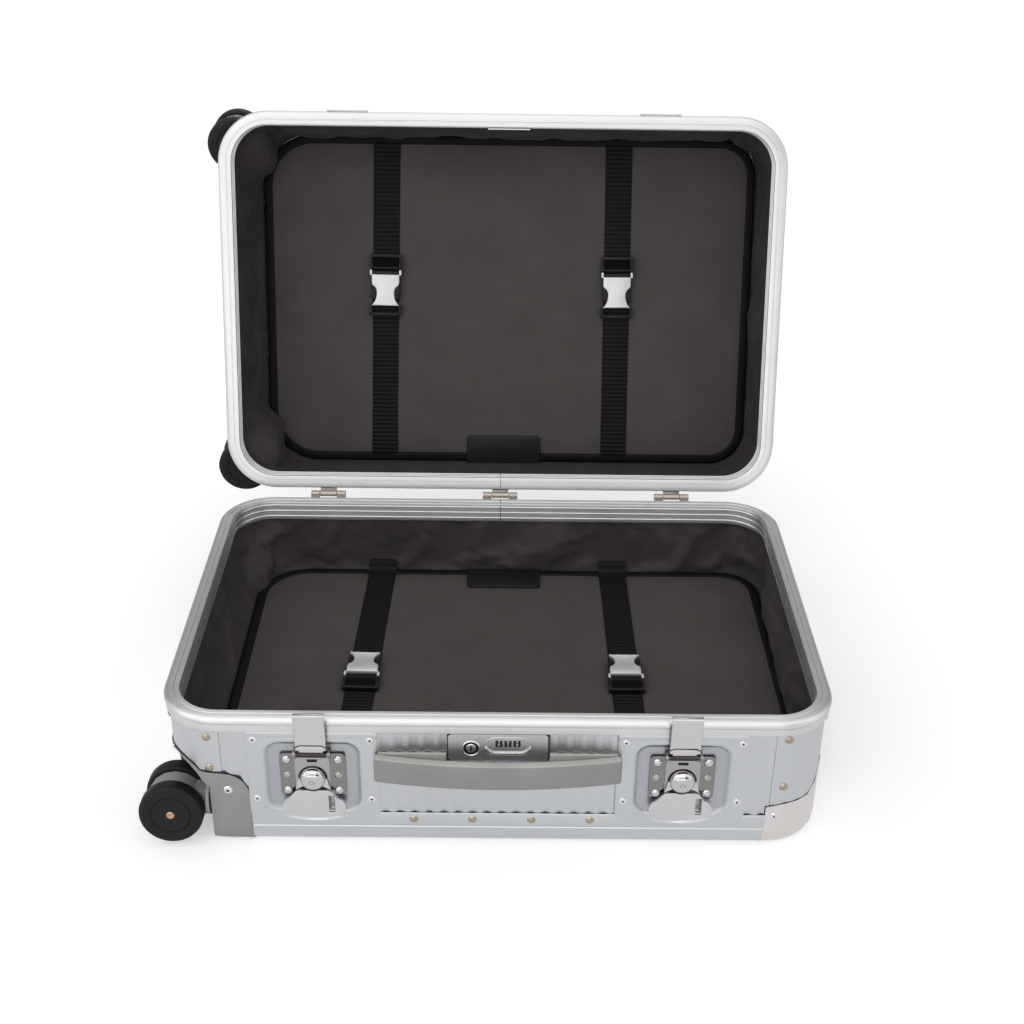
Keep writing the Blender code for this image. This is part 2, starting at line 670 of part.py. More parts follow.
def latch(label, x):
    """One twist latch: plate, base plate, hook, turning knob and folding wing."""
    plate_out = FIT + LATCH_PLATE_WALL
    pocket_out = plate_out - POCKET_DEPTH
    plate = wall_plate(f"latch_plate_{label}", LATCH_PLATE, x, LATCH_PLATE_BOTTOM, FIT, plate_out,
                       LATCH_PLATE_CORNER, ALUMINIUM)
    pocket_z = POCKET_BOTTOM + POCKET[1] / 2
    boolean(plate, "DIFFERENCE", box_from((x - POCKET[0] / 2, front(plate_out + POCKET_DEPTH),
                                           pocket_z - POCKET[1] / 2),
                                          (x + POCKET[0] / 2, front(pocket_out), pocket_z + POCKET[1] / 2)))

    base_in = pocket_out + FIT
    base_out = base_in + LATCH_BASE_WALL
    base = wall_plate(f"latch_base_{label}", LATCH_BASE, x, LATCH_BASE_BOTTOM, base_in, base_out,
                      LATCH_BASE_CORNER, CHROME)
    pivot_y = front(HOOK_PIVOT_OUT)
    ear_in = HOOK_WIDTH / 2 + FIT
    for end in (-1, 1):
        near = min(end * ear_in, end * (ear_in + HOOK_EAR))
        boolean(base, "UNION", box_from((x + near, pivot_y, HOOK_PIVOT_Z - 2 * HOOK_BARREL),
                                        (x + near + HOOK_EAR, front(base_out - FIT),
                                         HOOK_PIVOT_Z + HOOK_BARREL)))
        boolean(base, "UNION", rod(HOOK_BARREL, "X", x + near, x + near + HOOK_EAR,
                                   (pivot_y, HOOK_PIVOT_Z)))
    boolean(base, "UNION", rod(HOOK_PIN, "X", x - ear_in - FIT, x + ear_in + FIT, (pivot_y, HOOK_PIVOT_Z)))
    boss_out = base_out + BOSS_HEIGHT
    boolean(base, "UNION", rod(BOSS_RADIUS, "Y", front(boss_out), front(base_out - FIT), (x, KNOB_Z),
                               ROUND_STEPS))
    boolean(base, "DIFFERENCE", rod(KNOB_AXLE + FIT, "Y", front(boss_out + FIT), front(base_in - FIT),
                                    (x, KNOB_Z), ROUND_STEPS))

    pivot = carrier(f"hook_{label}_axis", (x, pivot_y, HOOK_PIVOT_Z))
    hook_y = pivot_y - HOOK_WALL / 2
    top = HOOK_PIVOT_Z + HOOK_RISE
    half = HOOK_WIDTH / 2
    hook = new_object(f"latch_hook_{label}", box_from((x - half, hook_y - HOOK_WALL / 2, HOOK_PIVOT_Z),
                                                      (x + half, hook_y + HOOK_WALL / 2, top)),
                      CHROME, pivot)
    boolean(hook, "UNION", box_from((x - half, hook_y, top - HOOK_LIP_WALL),
                                    (x + half, hook_y - HOOK_WALL / 2 + HOOK_LIP, top)), pivot)
    boolean(hook, "UNION", rod(HOOK_BARREL, "X", x - half, x + half, (pivot_y, HOOK_PIVOT_Z)), pivot)
    boolean(hook, "DIFFERENCE", rod(HOOK_PIN + FIT, "X", x - 2 * half, x + 2 * half,
                                    (pivot_y, HOOK_PIVOT_Z)), pivot)
    pivot.rotation_euler.x = math.radians(HOOK_REST)

    knob_low = boss_out + FIT
    spindle = carrier(f"knob_{label}_axis", (x, front(knob_low), KNOB_Z))
    axle_depth = BOSS_HEIGHT + LATCH_BASE_WALL
    dome = [(0.0, KNOB_HEIGHT), (KNOB_RADIUS * 0.55, KNOB_HEIGHT * 0.92),
            (KNOB_RADIUS * 0.88, KNOB_HEIGHT * 0.66), (KNOB_RADIUS, KNOB_HEIGHT * 0.3), (KNOB_RADIUS, 0.0),
            (KNOB_AXLE, 0.0), (KNOB_AXLE, -axle_depth), (0.0, -axle_depth)]
    shape = turned([(r, -h) for r, h in reversed(dome)], "Y", (x, front(knob_low), KNOB_Z))
    knob = new_object(f"latch_knob_{label}", shape, CHROME, spindle)
    wing_z = KNOB_Z - WING_PIVOT_DROP
    wing_y = front(knob_low + WING_BARREL)
    ear_in = WING_NECK / 2 + FIT
    for end in (-1, 1):
        near = min(end * ear_in, end * (ear_in + WING_EAR))
        boolean(knob, "UNION", box_from((x + near, wing_y - WING_BARREL, wing_z),
                                        (x + near + WING_EAR, front(knob_low + FIT), KNOB_Z)), spindle)
        boolean(knob, "UNION", rod(WING_BARREL, "X", x + near, x + near + WING_EAR, (wing_y, wing_z)),
                spindle)
    boolean(knob, "UNION", rod(WING_PIN, "X", x - ear_in - FIT, x + ear_in + FIT, (wing_y, wing_z)),
            spindle)

    fold = carrier(f"wing_{label}_axis", (x, wing_y, wing_z), spindle)
    half_neck = WING_NECK / 2
    fan_low = wing_z - WING_LENGTH
    shoulder = fan_low + WING_LENGTH * 0.42
    drop = WING_BARREL + WING_EAR
    outline = [(-half_neck, wing_z), (-half_neck, wing_z - drop), (-WING_WIDTH * 0.36, shoulder + drop),
               (-WING_WIDTH / 2, shoulder - drop), (-WING_WIDTH * 0.46, fan_low + drop),
               (-WING_WIDTH * 0.34, fan_low)]
    outline += [(-a, b) for a, b in reversed(outline)]
    outline = [(x + a, b) for a, b in outline]
    fan = prism(outline, "Y", wing_y - WING_WALL / 2, wing_y + WING_WALL / 2)
    wing = new_object(f"latch_wing_{label}", fan, CHROME, fold)
    boolean(wing, "UNION", rod(WING_BARREL, "X", x - half_neck, x + half_neck, (wing_y, wing_z)), fold)
    boolean(wing, "DIFFERENCE", rod(WING_PIN + FIT, "X", x - WING_NECK, x + WING_NECK,
                                    (wing_y, wing_z)), fold)
    cut_z = fan_low - WING_CUT_RADIUS * 0.72
    boolean(wing, "DIFFERENCE", rod(WING_CUT_RADIUS, "Y", wing_y - WING_WALL, wing_y + WING_WALL,
                                    (x, cut_z), ROUND_STEPS), fold)


def strike(label, x, above):
    """Ledge on the lid that the hook draws down: a cross bar between two legs."""
    low = LID_FACE + STRIKE_START
    y_in = -HALF_W - FIT
    y_out = y_in - STRIKE_WALL
    half = STRIKE_WIDTH / 2
    plate = box_from((x - half, y_out, low), (x + half, y_in, low + STRIKE_HEIGHT))
    obj = new_object(f"lid_strike_{label}", plate, CHROME, above)
    notch = half - STRIKE_LEG
    boolean(obj, "DIFFERENCE", box_from((x - notch, y_out - STRIKE_WALL, low + STRIKE_LEDGE),
                                        (x + notch, y_in + STRIKE_WALL, low + 2 * STRIKE_HEIGHT)), above)
    return obj


def lock(shell_obj, lining_obj):
    """Number lock: plate and box in one housing, three dials and a key cylinder."""
    plate_out = FIT + LOCK_PLATE_WALL
    plate = wall_plate("lock_housing", LOCK_PLATE, 0.0, LOCK_PLATE_BOTTOM, FIT, plate_out,
                       LOCK_PLATE_CORNER, GUNMETAL)
    mid_z = LOCK_PLATE_BOTTOM + LOCK_PLATE[1] / 2
    half_x = LOCK_BOX[0] / 2
    half_z = LOCK_BOX[1] / 2
    boolean(plate, "UNION", box_from((-half_x, front(FIT + LOCK_PLATE_WALL / 2), mid_z - half_z),
                                     (half_x, front(-LOCK_BOX_DEPTH), mid_z + half_z)))
    for target, gap in ((shell_obj, FIT), (lining_obj, 2 * FIT)):
        window_x = half_x + gap
        window_z = half_z + gap
        boolean(target, "DIFFERENCE", box_from((-window_x, front(plate_out), mid_z - window_z),
                                               (window_x, front(-LOCK_BOX_DEPTH - gap), mid_z + window_z)))
    face = plate_out
    for index in range(3):
        x = DIAL_CENTRE_X + (index - 1) * DIAL_PITCH
        dial_y = front(face + DIAL_PROUD - DIAL_RADIUS)
        wheel = carrier(f"dial_{index + 1}_axis", (x, dial_y, DIAL_Z))
        new_object(f"lock_dial_{index + 1}", rod(DIAL_RADIUS, "X", x - DIAL_WIDTH / 2, x + DIAL_WIDTH / 2,
                                                 (dial_y, DIAL_Z), ROUND_STEPS), BLACK_PLASTIC, wheel)
        boolean(plate, "DIFFERENCE", rod(DIAL_RADIUS + FIT, "X", x - DIAL_WIDTH / 2 - FIT,
                                         x + DIAL_WIDTH / 2 + FIT, (dial_y, DIAL_Z), ROUND_STEPS))
    deep = -LOCK_BOX_DEPTH + LOCK_PLATE_WALL
    boolean(plate, "DIFFERENCE", rod(KEY_RADIUS + FIT, "Y", front(face + FIT), front(deep - FIT),
                                     (KEY_X, KEY_Z), ROUND_STEPS))
    turn = carrier("key_axis", (KEY_X, front(face), KEY_Z))
    key = new_object("key_cylinder", rod(KEY_RADIUS, "Y", front(face + DIAL_PROUD / 2), front(deep),
                                         (KEY_X, KEY_Z), ROUND_STEPS), CHROME, turn)
    slot_x = KEY_SLOT[0] / 2
    slot_z = KEY_SLOT[1] / 2
    boolean(key, "DIFFERENCE", box_from((KEY_X - slot_x, front(face + DIAL_PROUD), KEY_Z - slot_z),
                                        (KEY_X + slot_x, front(0.0), KEY_Z + slot_z)), turn)


def handle(name, size, pin_at, height, wall, to_world, shell_obj, lining_obj):
    """Bowed pull handle on two guide pins that slide in a rail behind the wall."""
    inner_end = wall + LATCH_PLATE_WALL + 2 * FIT
    half = size[0] / 2
    inside = []
    outside = []
    for step in range(HANDLE_STEPS + 1):
        along = -half + size[0] * step / HANDLE_STEPS
        bow = HANDLE_BOW * (1 - (along / half) ** 2)
        inside.append((along, inner_end + bow))
        outside.append((along, inner_end + HANDLE_WALL + bow))
    pull = carrier(f"{name}_axis", to_world(0.0, inner_end, height))
    bm = prism(inside + outside[::-1], "Z", height - size[1] / 2, height + size[1] / 2)
    for vert in bm.verts:
        vert.co = Vector(to_world(*vert.co))
    obj = new_object(name, bm, GREY_COVER, pull)
    rail_out = wall - SHELL_WALL - FIT
    rail_in = rail_out - RAIL_DEPTH
    pin_in = rail_in - PIN_PAST_RAIL

    def world_box(low, high):
        a = Vector(to_world(*low))
        b = Vector(to_world(*high))
        return box_from([min(p) for p in zip(a, b)], [max(p) for p in zip(a, b)])

    def world_rod(radius, along, start, end):
        a = Vector(to_world(along, start, height))
        b = Vector(to_world(along, end, height))
        axis = "X" if abs(a.x - b.x) > abs(a.y - b.y) else "Y"
        index = "XYZ".index(axis)
        others = [a[i] for i in range(3) if i != index]
        return rod(radius, axis, min(a[index], b[index]), max(a[index], b[index]), others)

    reach = pin_at + RAIL_MARGIN
    half_rail = RAIL_HEIGHT / 2
    bar = world_box((-reach, rail_in, height - half_rail), (reach, rail_out, height + half_rail))
    rail = new_object(f"{name}_rail", bar, GREY_PLASTIC, None)
    gap = 2 * FIT
    half_gap = half_rail + gap
    boolean(lining_obj, "DIFFERENCE", world_box((-reach - gap, pin_in - gap, height - half_gap),
                                                (reach + gap, rail_out + gap, height + half_gap)))
    for along in (-pin_at, pin_at):
        end_bow = HANDLE_BOW * (1 - (along / half) ** 2)
        pin_out = inner_end + end_bow + HANDLE_WALL / 2
        boolean(obj, "UNION", world_rod(HANDLE_PIN, along, pin_in, pin_out), pull)
        boolean(rail, "DIFFERENCE", world_rod(HANDLE_PIN + FIT, along, rail_in - FIT, rail_out + FIT))
        boolean(shell_obj, "DIFFERENCE", world_rod(HANDLE_PIN + FIT, along, rail_in, inner_end))


def trolley(shell_obj):
    """Pull-out handle: outer tubes, foot block, end plate, grip with inner tubes, and button."""
    wide, tall = TUBE_SECTION
    bore_wide = wide - 2 * TUBE_WALL
    bore_tall = tall - 2 * TUBE_WALL
    slide_wide = bore_wide - 2 * FIT
    slide_tall = bore_tall - 2 * FIT
    tube_end = INNER_X - FIT
    plate_in = WALL_X + FIT
    plate_out = plate_in + END_PLATE_WALL
    slab = block((END_PLATE_WALL, *END_PLATE), ((plate_in + plate_out) / 2, 0.0, END_PLATE_Z))
    plate = new_object("trolley_end_plate", slab, BLACK_PLASTIC, None)
    grip_in = plate_out + FIT
    slide = carrier("trolley_axis", (grip_in, 0.0, TUBE_Z))
    grip = new_object("trolley_grip", block(GRIP, (grip_in + GRIP[0] / 2, 0.0, TUBE_Z), GRIP_ROUND),
                      BLACK_PLASTIC, slide)
    for side, label in ((-1, "front"), (1, "back")):
        y = side * TUBE_Y
        bar = block((tube_end - TUBE_START_X, wide, tall), ((tube_end + TUBE_START_X) / 2, y, TUBE_Z))
        tube = new_object(f"trolley_tube_{label}", bar, ALUMINIUM, None)
        boolean(tube, "DIFFERENCE", block((2 * RIM_LENGTH, bore_wide, bore_tall), (0.0, y, TUBE_Z)))
        through = box_from((INNER_X - SHELL_WALL, y - bore_wide / 2, TUBE_Z - bore_tall / 2),
                           (plate_out + SHELL_WALL, y + bore_wide / 2, TUBE_Z + bore_tall / 2))
        boolean(shell_obj, "DIFFERENCE", through.copy())
        boolean(plate, "DIFFERENCE", through)
        low = (INNER_TUBE_START_X, y - slide_wide / 2, TUBE_Z - slide_tall / 2)
        high = (grip_in + GRIP[0] / 2, y + slide_wide / 2, TUBE_Z + slide_tall / 2)
        boolean(grip, "UNION", box_from(low, high), slide)
    foot_half = TUBE_Y + wide / 2 + FOOT_MARGIN
    new_object("trolley_foot", box_from((TUBE_START_X - FIT - FOOT_LENGTH, -foot_half, SHELL_WALL + FIT),
                                        (TUBE_START_X - FIT, foot_half, FOOT_TOP)), BLACK_PLASTIC, None)
    outer_x = grip_in + GRIP[0]
    floor_x = outer_x - BUTTON_DEPTH
    boolean(grip, "DIFFERENCE", block((2 * BUTTON_DEPTH, BUTTON[0] + 2 * FIT, BUTTON[1] + 2 * FIT),
                                      (outer_x, 0.0, TUBE_Z)), slide)
    press = carrier("button_axis", (outer_x, 0.0, TUBE_Z), slide)
    button_in = floor_x + BUTTON_DEPTH / 2
    new_object("trolley_button", box_from((button_in, -BUTTON[0] / 2, TUBE_Z - BUTTON[1] / 2),
                                          (outer_x + BUTTON_PROUD, BUTTON[0] / 2, TUBE_Z + BUTTON[1] / 2)),
               GREY_PLASTIC, press)


def at_front(along, out, height):
    """Handle coordinates on the front wall."""
    return (along, -out, height)


def at_right_end(along, out, height):
    """Handle coordinates on the right end wall."""
    return (out, along, height)


def half_case(prefix, height, in_lid, floor, buckle_y, above):
    """Shell, lining, board, straps, housings, caps and casters of one half of the case."""
    shell_obj = shell(f"{prefix}_shell", height, in_lid, above)
    lining_obj = lining(f"{prefix}_lining", floor, height, in_lid, above)
    board(f"{prefix}_board", floor, in_lid, above)
    for label, x in (("left", -STRAP_X), ("right", STRAP_X)):
        strap(f"{prefix}_strap_{label}", x, floor, buckle_y, in_lid, above)
    turn = LID_CASTER_TURN if in_lid else BASE_CASTER_TURN
    for label, side in (("front", -1), ("back", 1)):
        housing(f"{prefix}_wheel_housing_{label}", side, in_lid, above)
        corner_cap(f"{prefix}_corner_cap_{label}", side, in_lid, above)
        caster(f"{prefix}_{label}", side, in_lid, above, turn)
    return shell_obj, lining_obj


base_shell, base_lining = half_case("base", BASE_HEIGHT, False, BASE_LINING_FLOOR, BASE_BUCKLE_Y, None)
rim("base_rim", BASE_HEIGHT, -1, None)
for hinge_label, hinge_at in (("left", -HINGE_SPACING), ("middle", 0.0), ("right", HINGE_SPACING)):
    hinge(f"hinge_{hinge_label}", hinge_at)
latch("left", -LATCH_X)
latch("right", LATCH_X)
lock(base_shell, base_lining)
handle("side_handle", SIDE_HANDLE, SIDE_PIN_X, SIDE_HANDLE_Z, WALL_Y, at_front, base_shell, base_lining)
handle("top_handle", TOP_HANDLE, TOP_PIN_Y, TOP_HANDLE_Z, WALL_X, at_right_end, base_shell, base_lining)
trolley(base_shell)

lid = carrier("lid_axis", (0.0, HINGE_Y, HINGE_Z))
half_case("lid", LID_HEIGHT, True, LID_LINING_FLOOR, LID_BUCKLE_Y, lid)
lid_rim = rim("lid_rim", LID_FACE, 1, lid)
for hinge_at in (-HINGE_SPACING, 0.0, HINGE_SPACING):
    hinge_lid_leaf(lid_rim, hinge_at, lid)
strike("left", -LATCH_X, lid)
strike("right", LATCH_X, lid)
catch_y = -HALF_W + RIM_FACE + FIT
catch_low = (CATCH_X - CATCH_WIDTH / 2, catch_y, LID_FACE - CATCH_DROP)
catch_high = (CATCH_X + CATCH_WIDTH / 2, catch_y + CATCH_WALL, LID_FACE + RIM_INNER_LEG)
new_object("lock_catch", box_from(catch_low, catch_high), CHROME, lid)
lid.rotation_euler.x = math.radians(-LID_OPEN)
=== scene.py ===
"""Wheeled aluminium case lying open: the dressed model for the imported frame."""

import json
import math

import bmesh
import bpy
from bmesh.types import BMEdge, BMFace, BMVert
from mathutils import Matrix, Vector, noise


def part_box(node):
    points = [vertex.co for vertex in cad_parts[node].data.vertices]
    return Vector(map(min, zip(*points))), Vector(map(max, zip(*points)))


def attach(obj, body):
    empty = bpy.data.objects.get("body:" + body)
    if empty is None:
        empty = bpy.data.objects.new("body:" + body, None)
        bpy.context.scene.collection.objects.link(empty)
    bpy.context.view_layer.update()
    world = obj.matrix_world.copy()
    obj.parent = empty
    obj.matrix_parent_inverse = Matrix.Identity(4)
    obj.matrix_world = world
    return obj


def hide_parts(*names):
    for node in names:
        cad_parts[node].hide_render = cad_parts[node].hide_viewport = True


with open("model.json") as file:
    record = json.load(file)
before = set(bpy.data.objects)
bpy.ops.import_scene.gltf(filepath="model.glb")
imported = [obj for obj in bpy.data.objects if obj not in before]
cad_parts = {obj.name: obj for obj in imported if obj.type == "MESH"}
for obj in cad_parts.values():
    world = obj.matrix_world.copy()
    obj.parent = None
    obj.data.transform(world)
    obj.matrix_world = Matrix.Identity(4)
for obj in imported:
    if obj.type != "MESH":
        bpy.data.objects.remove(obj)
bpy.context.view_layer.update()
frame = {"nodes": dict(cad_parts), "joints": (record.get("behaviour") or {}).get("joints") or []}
scene = bpy.context.scene

# Camera: a long lens a little over a metre in front of the case, looking down on it.
# Its place, tilt and focal length were fitted to the corners of both rims.
camera_data = bpy.data.cameras.new("camera")
camera_data.sensor_width = 36.0
camera_data.lens = 52.34
camera_data.clip_start = 0.05
camera = bpy.data.objects.new("camera", camera_data)
scene.collection.objects.link(camera)
pitch = math.radians(29.40940388)
yaw = math.radians(0.6381975)
roll = math.radians(0.9065182)
ahead = Vector((math.sin(yaw) * math.cos(pitch), math.cos(yaw) * math.cos(pitch), -math.sin(pitch)))
level = Vector((math.cos(yaw), -math.sin(yaw), 0.0))
upright = level.cross(ahead)
right = math.cos(roll) * level + math.sin(roll) * upright
upward = -math.sin(roll) * level + math.cos(roll) * upright
turn = Matrix((right, upward, -ahead)).transposed().to_4x4()
camera.matrix_world = Matrix.Translation((-0.00220821, -1.04153347, 0.78610727)) @ turn
scene.camera = camera

# Studio: a white sweep under the case, white all round but for the dim room behind the lens.
# Soft lamps hang above, in front and to the sides; the sweep still takes the shadow of the case.
scene.view_settings.view_transform = "Standard"
white = (1.0, 1.0, 1.0, 1.0)


def fill(tree, made, values):
    """Sets the inputs of a node: a socket is linked, anything else becomes the value."""
    for key, value in values.items():
        if isinstance(value, bpy.types.NodeSocket):
            tree.links.new(value, made.inputs[key])
        else:
            made.inputs[key].default_value = value


def node(tree, kind, values, out=0, **settings):
    """Adds one shader node with its inputs and settings, and gives one of its outputs."""
    made = tree.nodes.new("ShaderNode" + kind)
    for key, value in settings.items():
        setattr(made, key, value)
    fill(tree, made, values)
    return made.outputs[out]


def maths(tree, operation, *values):
    """One sum of one or two values."""
    return node(tree, "Math", dict(enumerate(values)), operation=operation)


def ranged(tree, value, low, high, to_low=0.0, to_high=1.0):
    """Maps one range of a value to another."""
    return node(tree, "MapRange", {"Value": value, "From Min": low, "From Max": high,
                                   "To Min": to_low, "To Max": to_high})


def material_tree(name):
    """A new node material with its tree and shader."""
    made = bpy.data.materials.new(name)
    made.use_nodes = True
    return made, made.node_tree, made.node_tree.nodes["Principled BSDF"]


sweep = bmesh.new()
bmesh.ops.create_grid(sweep, x_segments=1, y_segments=1, size=6.0)
bmesh.ops.translate(sweep, verts=sweep.verts, vec=(0.0, 0.0, -0.0004))
sweep_mesh = bpy.data.meshes.new("floor_sweep")
sweep.to_mesh(sweep_mesh)
sweep.free()
floor_sweep = bpy.data.objects.new("floor_sweep", sweep_mesh)
scene.collection.objects.link(floor_sweep)
sweep_white, tree, shader = material_tree("sweep_white")
rays = tree.nodes.new("ShaderNodeLightPath").outputs
from_case = node(tree, "VectorMath", {0: node(tree, "TexCoord", {}, "Object")}, "Value", operation="LENGTH")
lens_lift = maths(tree, "MULTIPLY", rays["Is Camera Ray"], ranged(tree, from_case, 0.34, 0.80, 0.45, 0.68))
gloss_lift = maths(tree, "MULTIPLY", rays["Is Glossy Ray"], 0.25)
fill(tree, shader, {"Base Color": (0.80, 0.80, 0.80, 1.0), "Roughness": 1.0, "Specular IOR Level": 0.0,
                    "Emission Color": white, "Emission Strength": maths(tree, "ADD", lens_lift, gloss_lift)})
sweep_mesh.materials.append(sweep_white)

world = bpy.data.worlds.new("studio")
world.use_nodes = True
scene.world = world
tree = world.node_tree
tree.nodes.clear()
rays = tree.nodes.new("ShaderNodeLightPath").outputs
in_gloss = maths(tree, "MAXIMUM", rays["Is Camera Ray"], rays["Is Glossy Ray"])
shown = maths(tree, "MAXIMUM", in_gloss, rays["Is Transmission Ray"])
axes = tree.nodes.new("ShaderNodeSeparateXYZ")
fill(tree, axes, {0: node(tree, "TexCoord", {}, "Generated")})
across, away, aloft = axes.outputs
dim_band = maths(tree, "MULTIPLY", ranged(tree, aloft, 0.16, 0.30), ranged(tree, aloft, 0.75, 0.45))
dim_front = maths(tree, "MULTIPLY", ranged(tree, away, -0.30, -0.75), dim_band)
off_middle = ranged(tree, maths(tree, "ABSOLUTE", across), 0.04, 0.30)
dim_corners = maths(tree, "MULTIPLY", off_middle, ranged(tree, away, 0.20, 0.50, 0.0, 0.72))
room = ranged(tree, maths(tree, "MAXIMUM", dim_front, dim_corners), 0.0, 1.0, 1.0, 0.08)
strength = maths(tree, "MAXIMUM", rays["Is Camera Ray"], room)
fill_light = node(tree, "Background", {"Color": white, "Strength": 0.40})
shown_room = node(tree, "Background", {"Color": white, "Strength": strength})
choice = node(tree, "MixShader", {0: shown, 1: fill_light, 2: shown_room})
fill(tree, tree.nodes.new("ShaderNodeOutputWorld"), {"Surface": choice})

lamps = (
    ("lamp_over", (-0.1, -0.3, 1.9), (0.0, 0.0, 0.1), 3.0, 8.5),
    ("lamp_left", (-1.7, -1.1, 1.2), (0.0, 0.0, 0.15), 2.0, 8.0),
    ("lamp_right", (1.7, -0.8, 1.2), (0.0, 0.0, 0.15), 1.8, 2.4),
    ("lamp_front", (-0.3, -2.2, 1.45), (0.0, 0.25, 0.40), 2.7, 18.5),
)
for lamp_name, spot, target, size, watts in lamps:
    lamp_data = bpy.data.lights.new(lamp_name, "AREA")
    lamp_data.size = size
    lamp_data.energy = watts
    lamp = bpy.data.objects.new(lamp_name, lamp_data)
    lamp.location = spot
    lamp.rotation_euler = (Vector(target) - Vector(spot)).to_track_quat("-Z", "Y").to_euler()
    scene.collection.objects.link(lamp)

# Shells: two trays of pressed aluminium sheet with rounded edges, satin anodised.
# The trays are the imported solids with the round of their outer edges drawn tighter.


def tinted(tree, fac, colour, dark, pale, low=0.0, high=1.0):
    """A colour that wanders with a value between a darker and a paler share of itself."""
    made = tree.nodes.new("ShaderNodeValToRGB")
    fill(tree, made, {"Fac": fac})
    for stop, share, position in zip(made.color_ramp.elements, (dark, pale), (low, high)):
        stop.position = position
        stop.color = tuple(min(1.0, share * c) for c in colour) + (1.0,)
    return made.outputs["Color"]


def bumped(tree, height, strength, distance):
    """A normal tilted by a height."""
    return node(tree, "Bump", {"Height": height, "Strength": strength, "Distance": distance})


def satin_metal(name, colour, rough, grain=(60.0, 60.0, 1400.0), depth=0.00001):
    """Satin metal: drawn grain in the gloss, faint blotches in the colour."""
    made, tree, shader = material_tree(name)
    spot = node(tree, "TexCoord", {}, "Object")
    stretched = node(tree, "Mapping", {"Vector": spot, "Scale": grain})
    drawn = node(tree, "TexNoise", {"Vector": stretched, "Scale": 1.0, "Detail": 4.0, "Roughness": 0.6})
    cloud = node(tree, "TexNoise", {"Vector": spot, "Scale": 14.0, "Detail": 3.0, "Roughness": 0.55})
    fill(tree, shader, {"Metallic": 1.0, "Base Color": tinted(tree, cloud, colour, 0.975, 1.02, 0.30, 0.70),
                        "Roughness": ranged(tree, drawn, 0.3, 0.7, rough - 0.03, rough + 0.04),
                        "Normal": bumped(tree, drawn, 0.15, depth)})
    return made


def piece(bm, name, body, finish, place=None, crease=35.0, closed=True, replaces=None):
    """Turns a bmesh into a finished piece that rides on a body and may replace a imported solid."""
    if place is not None:
        bmesh.ops.transform(bm, matrix=place, verts=bm.verts)
        if place.determinant() < 0.0:
            bmesh.ops.reverse_faces(bm, faces=bm.faces)
    if closed:
        bmesh.ops.recalc_face_normals(bm, faces=bm.faces)
    mesh = bpy.data.meshes.new(name)
    bm.to_mesh(mesh)
    bm.free()
    mesh.shade_smooth()
    mesh.set_sharp_from_angle(angle=math.radians(crease))
    mesh.materials.append(finish)
    made = bpy.data.objects.new(name, mesh)
    scene.collection.objects.link(made)
    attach(made, body)
    if replaces is not None:
        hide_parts(replaces)
    return made


def eased(solid, body, finish, ease=0.0004, place=None, trim=None):
    """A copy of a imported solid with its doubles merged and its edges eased; it replaces the solid."""
    bm = bmesh.new()
    bm.from_mesh(frame["nodes"][solid].data)
    bmesh.ops.remove_doubles(bm, verts=bm.verts, dist=0.00001)
    if trim is not None:
        to_half = place.inverted()
        for v in bm.verts:
            v.co = place @ trim(to_half @ v.co)
    bmesh.ops.dissolve_limit(bm, angle_limit=math.radians(0.8), verts=bm.verts, edges=bm.edges)
    made = piece(bm, solid + "_dressed", body, finish, replaces=solid)
    if ease > 0.0:
        soft = made.modifiers.new("eased_edges", "BEVEL")
        soft.width = ease
        soft.segments = 2
        soft.limit_method = "ANGLE"
        soft.angle_limit = math.radians(40.0)
        soft.harden_normals = True
    return made


lid_angle = math.radians(-105.5)
hinge_line = Vector((0.0, 0.174, 0.1188))
lid_swing = (Matrix.Translation(hinge_line) @ Matrix.Rotation(lid_angle, 4, "X")
             @ Matrix.Translation(-hinge_line))
lid_outer = 0.2291
lid_place = lid_swing @ Matrix.Translation((0.0, 0.0, lid_outer)) @ Matrix.Scale(-1.0, 4, (0.0, 0.0, 1.0))
halves = (("base", Matrix.Identity(4), 0.1185), ("lid", lid_place, 0.110))

wall_x = 0.2485
wall_y = 0.1655
corner_bend = 0.041
edge_round = 0.016
tight_round = 0.0095


def tightened(point):
    """Draws the round between wall and outer face in to the tighter bend of the pressed sheet."""
    over_x = abs(point.x) - wall_x + corner_bend
    over_y = abs(point.y) - wall_y + corner_bend
    bend = Vector((max(over_x, 0.0), max(over_y, 0.0)))
    out = bend.length - corner_bend
    if bend.length < 1e-9 or out < -edge_round or point.z > edge_round:
        return point
    side = Vector((out + edge_round, edge_round - point.z))
    if side.length < 0.5 * edge_round:
        return point
    reach = side.length - edge_round + tight_round
    side.normalize()
    bend = bend.normalized() * (reach * side.x - tight_round + corner_bend)
    new = point.copy()
    if over_x > 0.0:
        new.x = math.copysign(wall_x - corner_bend + bend.x, point.x)
    if over_y > 0.0:
        new.y = math.copysign(wall_y - corner_bend + bend.y, point.y)
    new.z = tight_round - reach * side.y
    return new


sheet_satin = satin_metal("aluminium_sheet_satin", (0.610, 0.625, 0.648), 0.33)
for half, place, height in halves:
    eased(half + "_shell", half, sheet_satin, ease=0.0, place=place, trim=tightened)

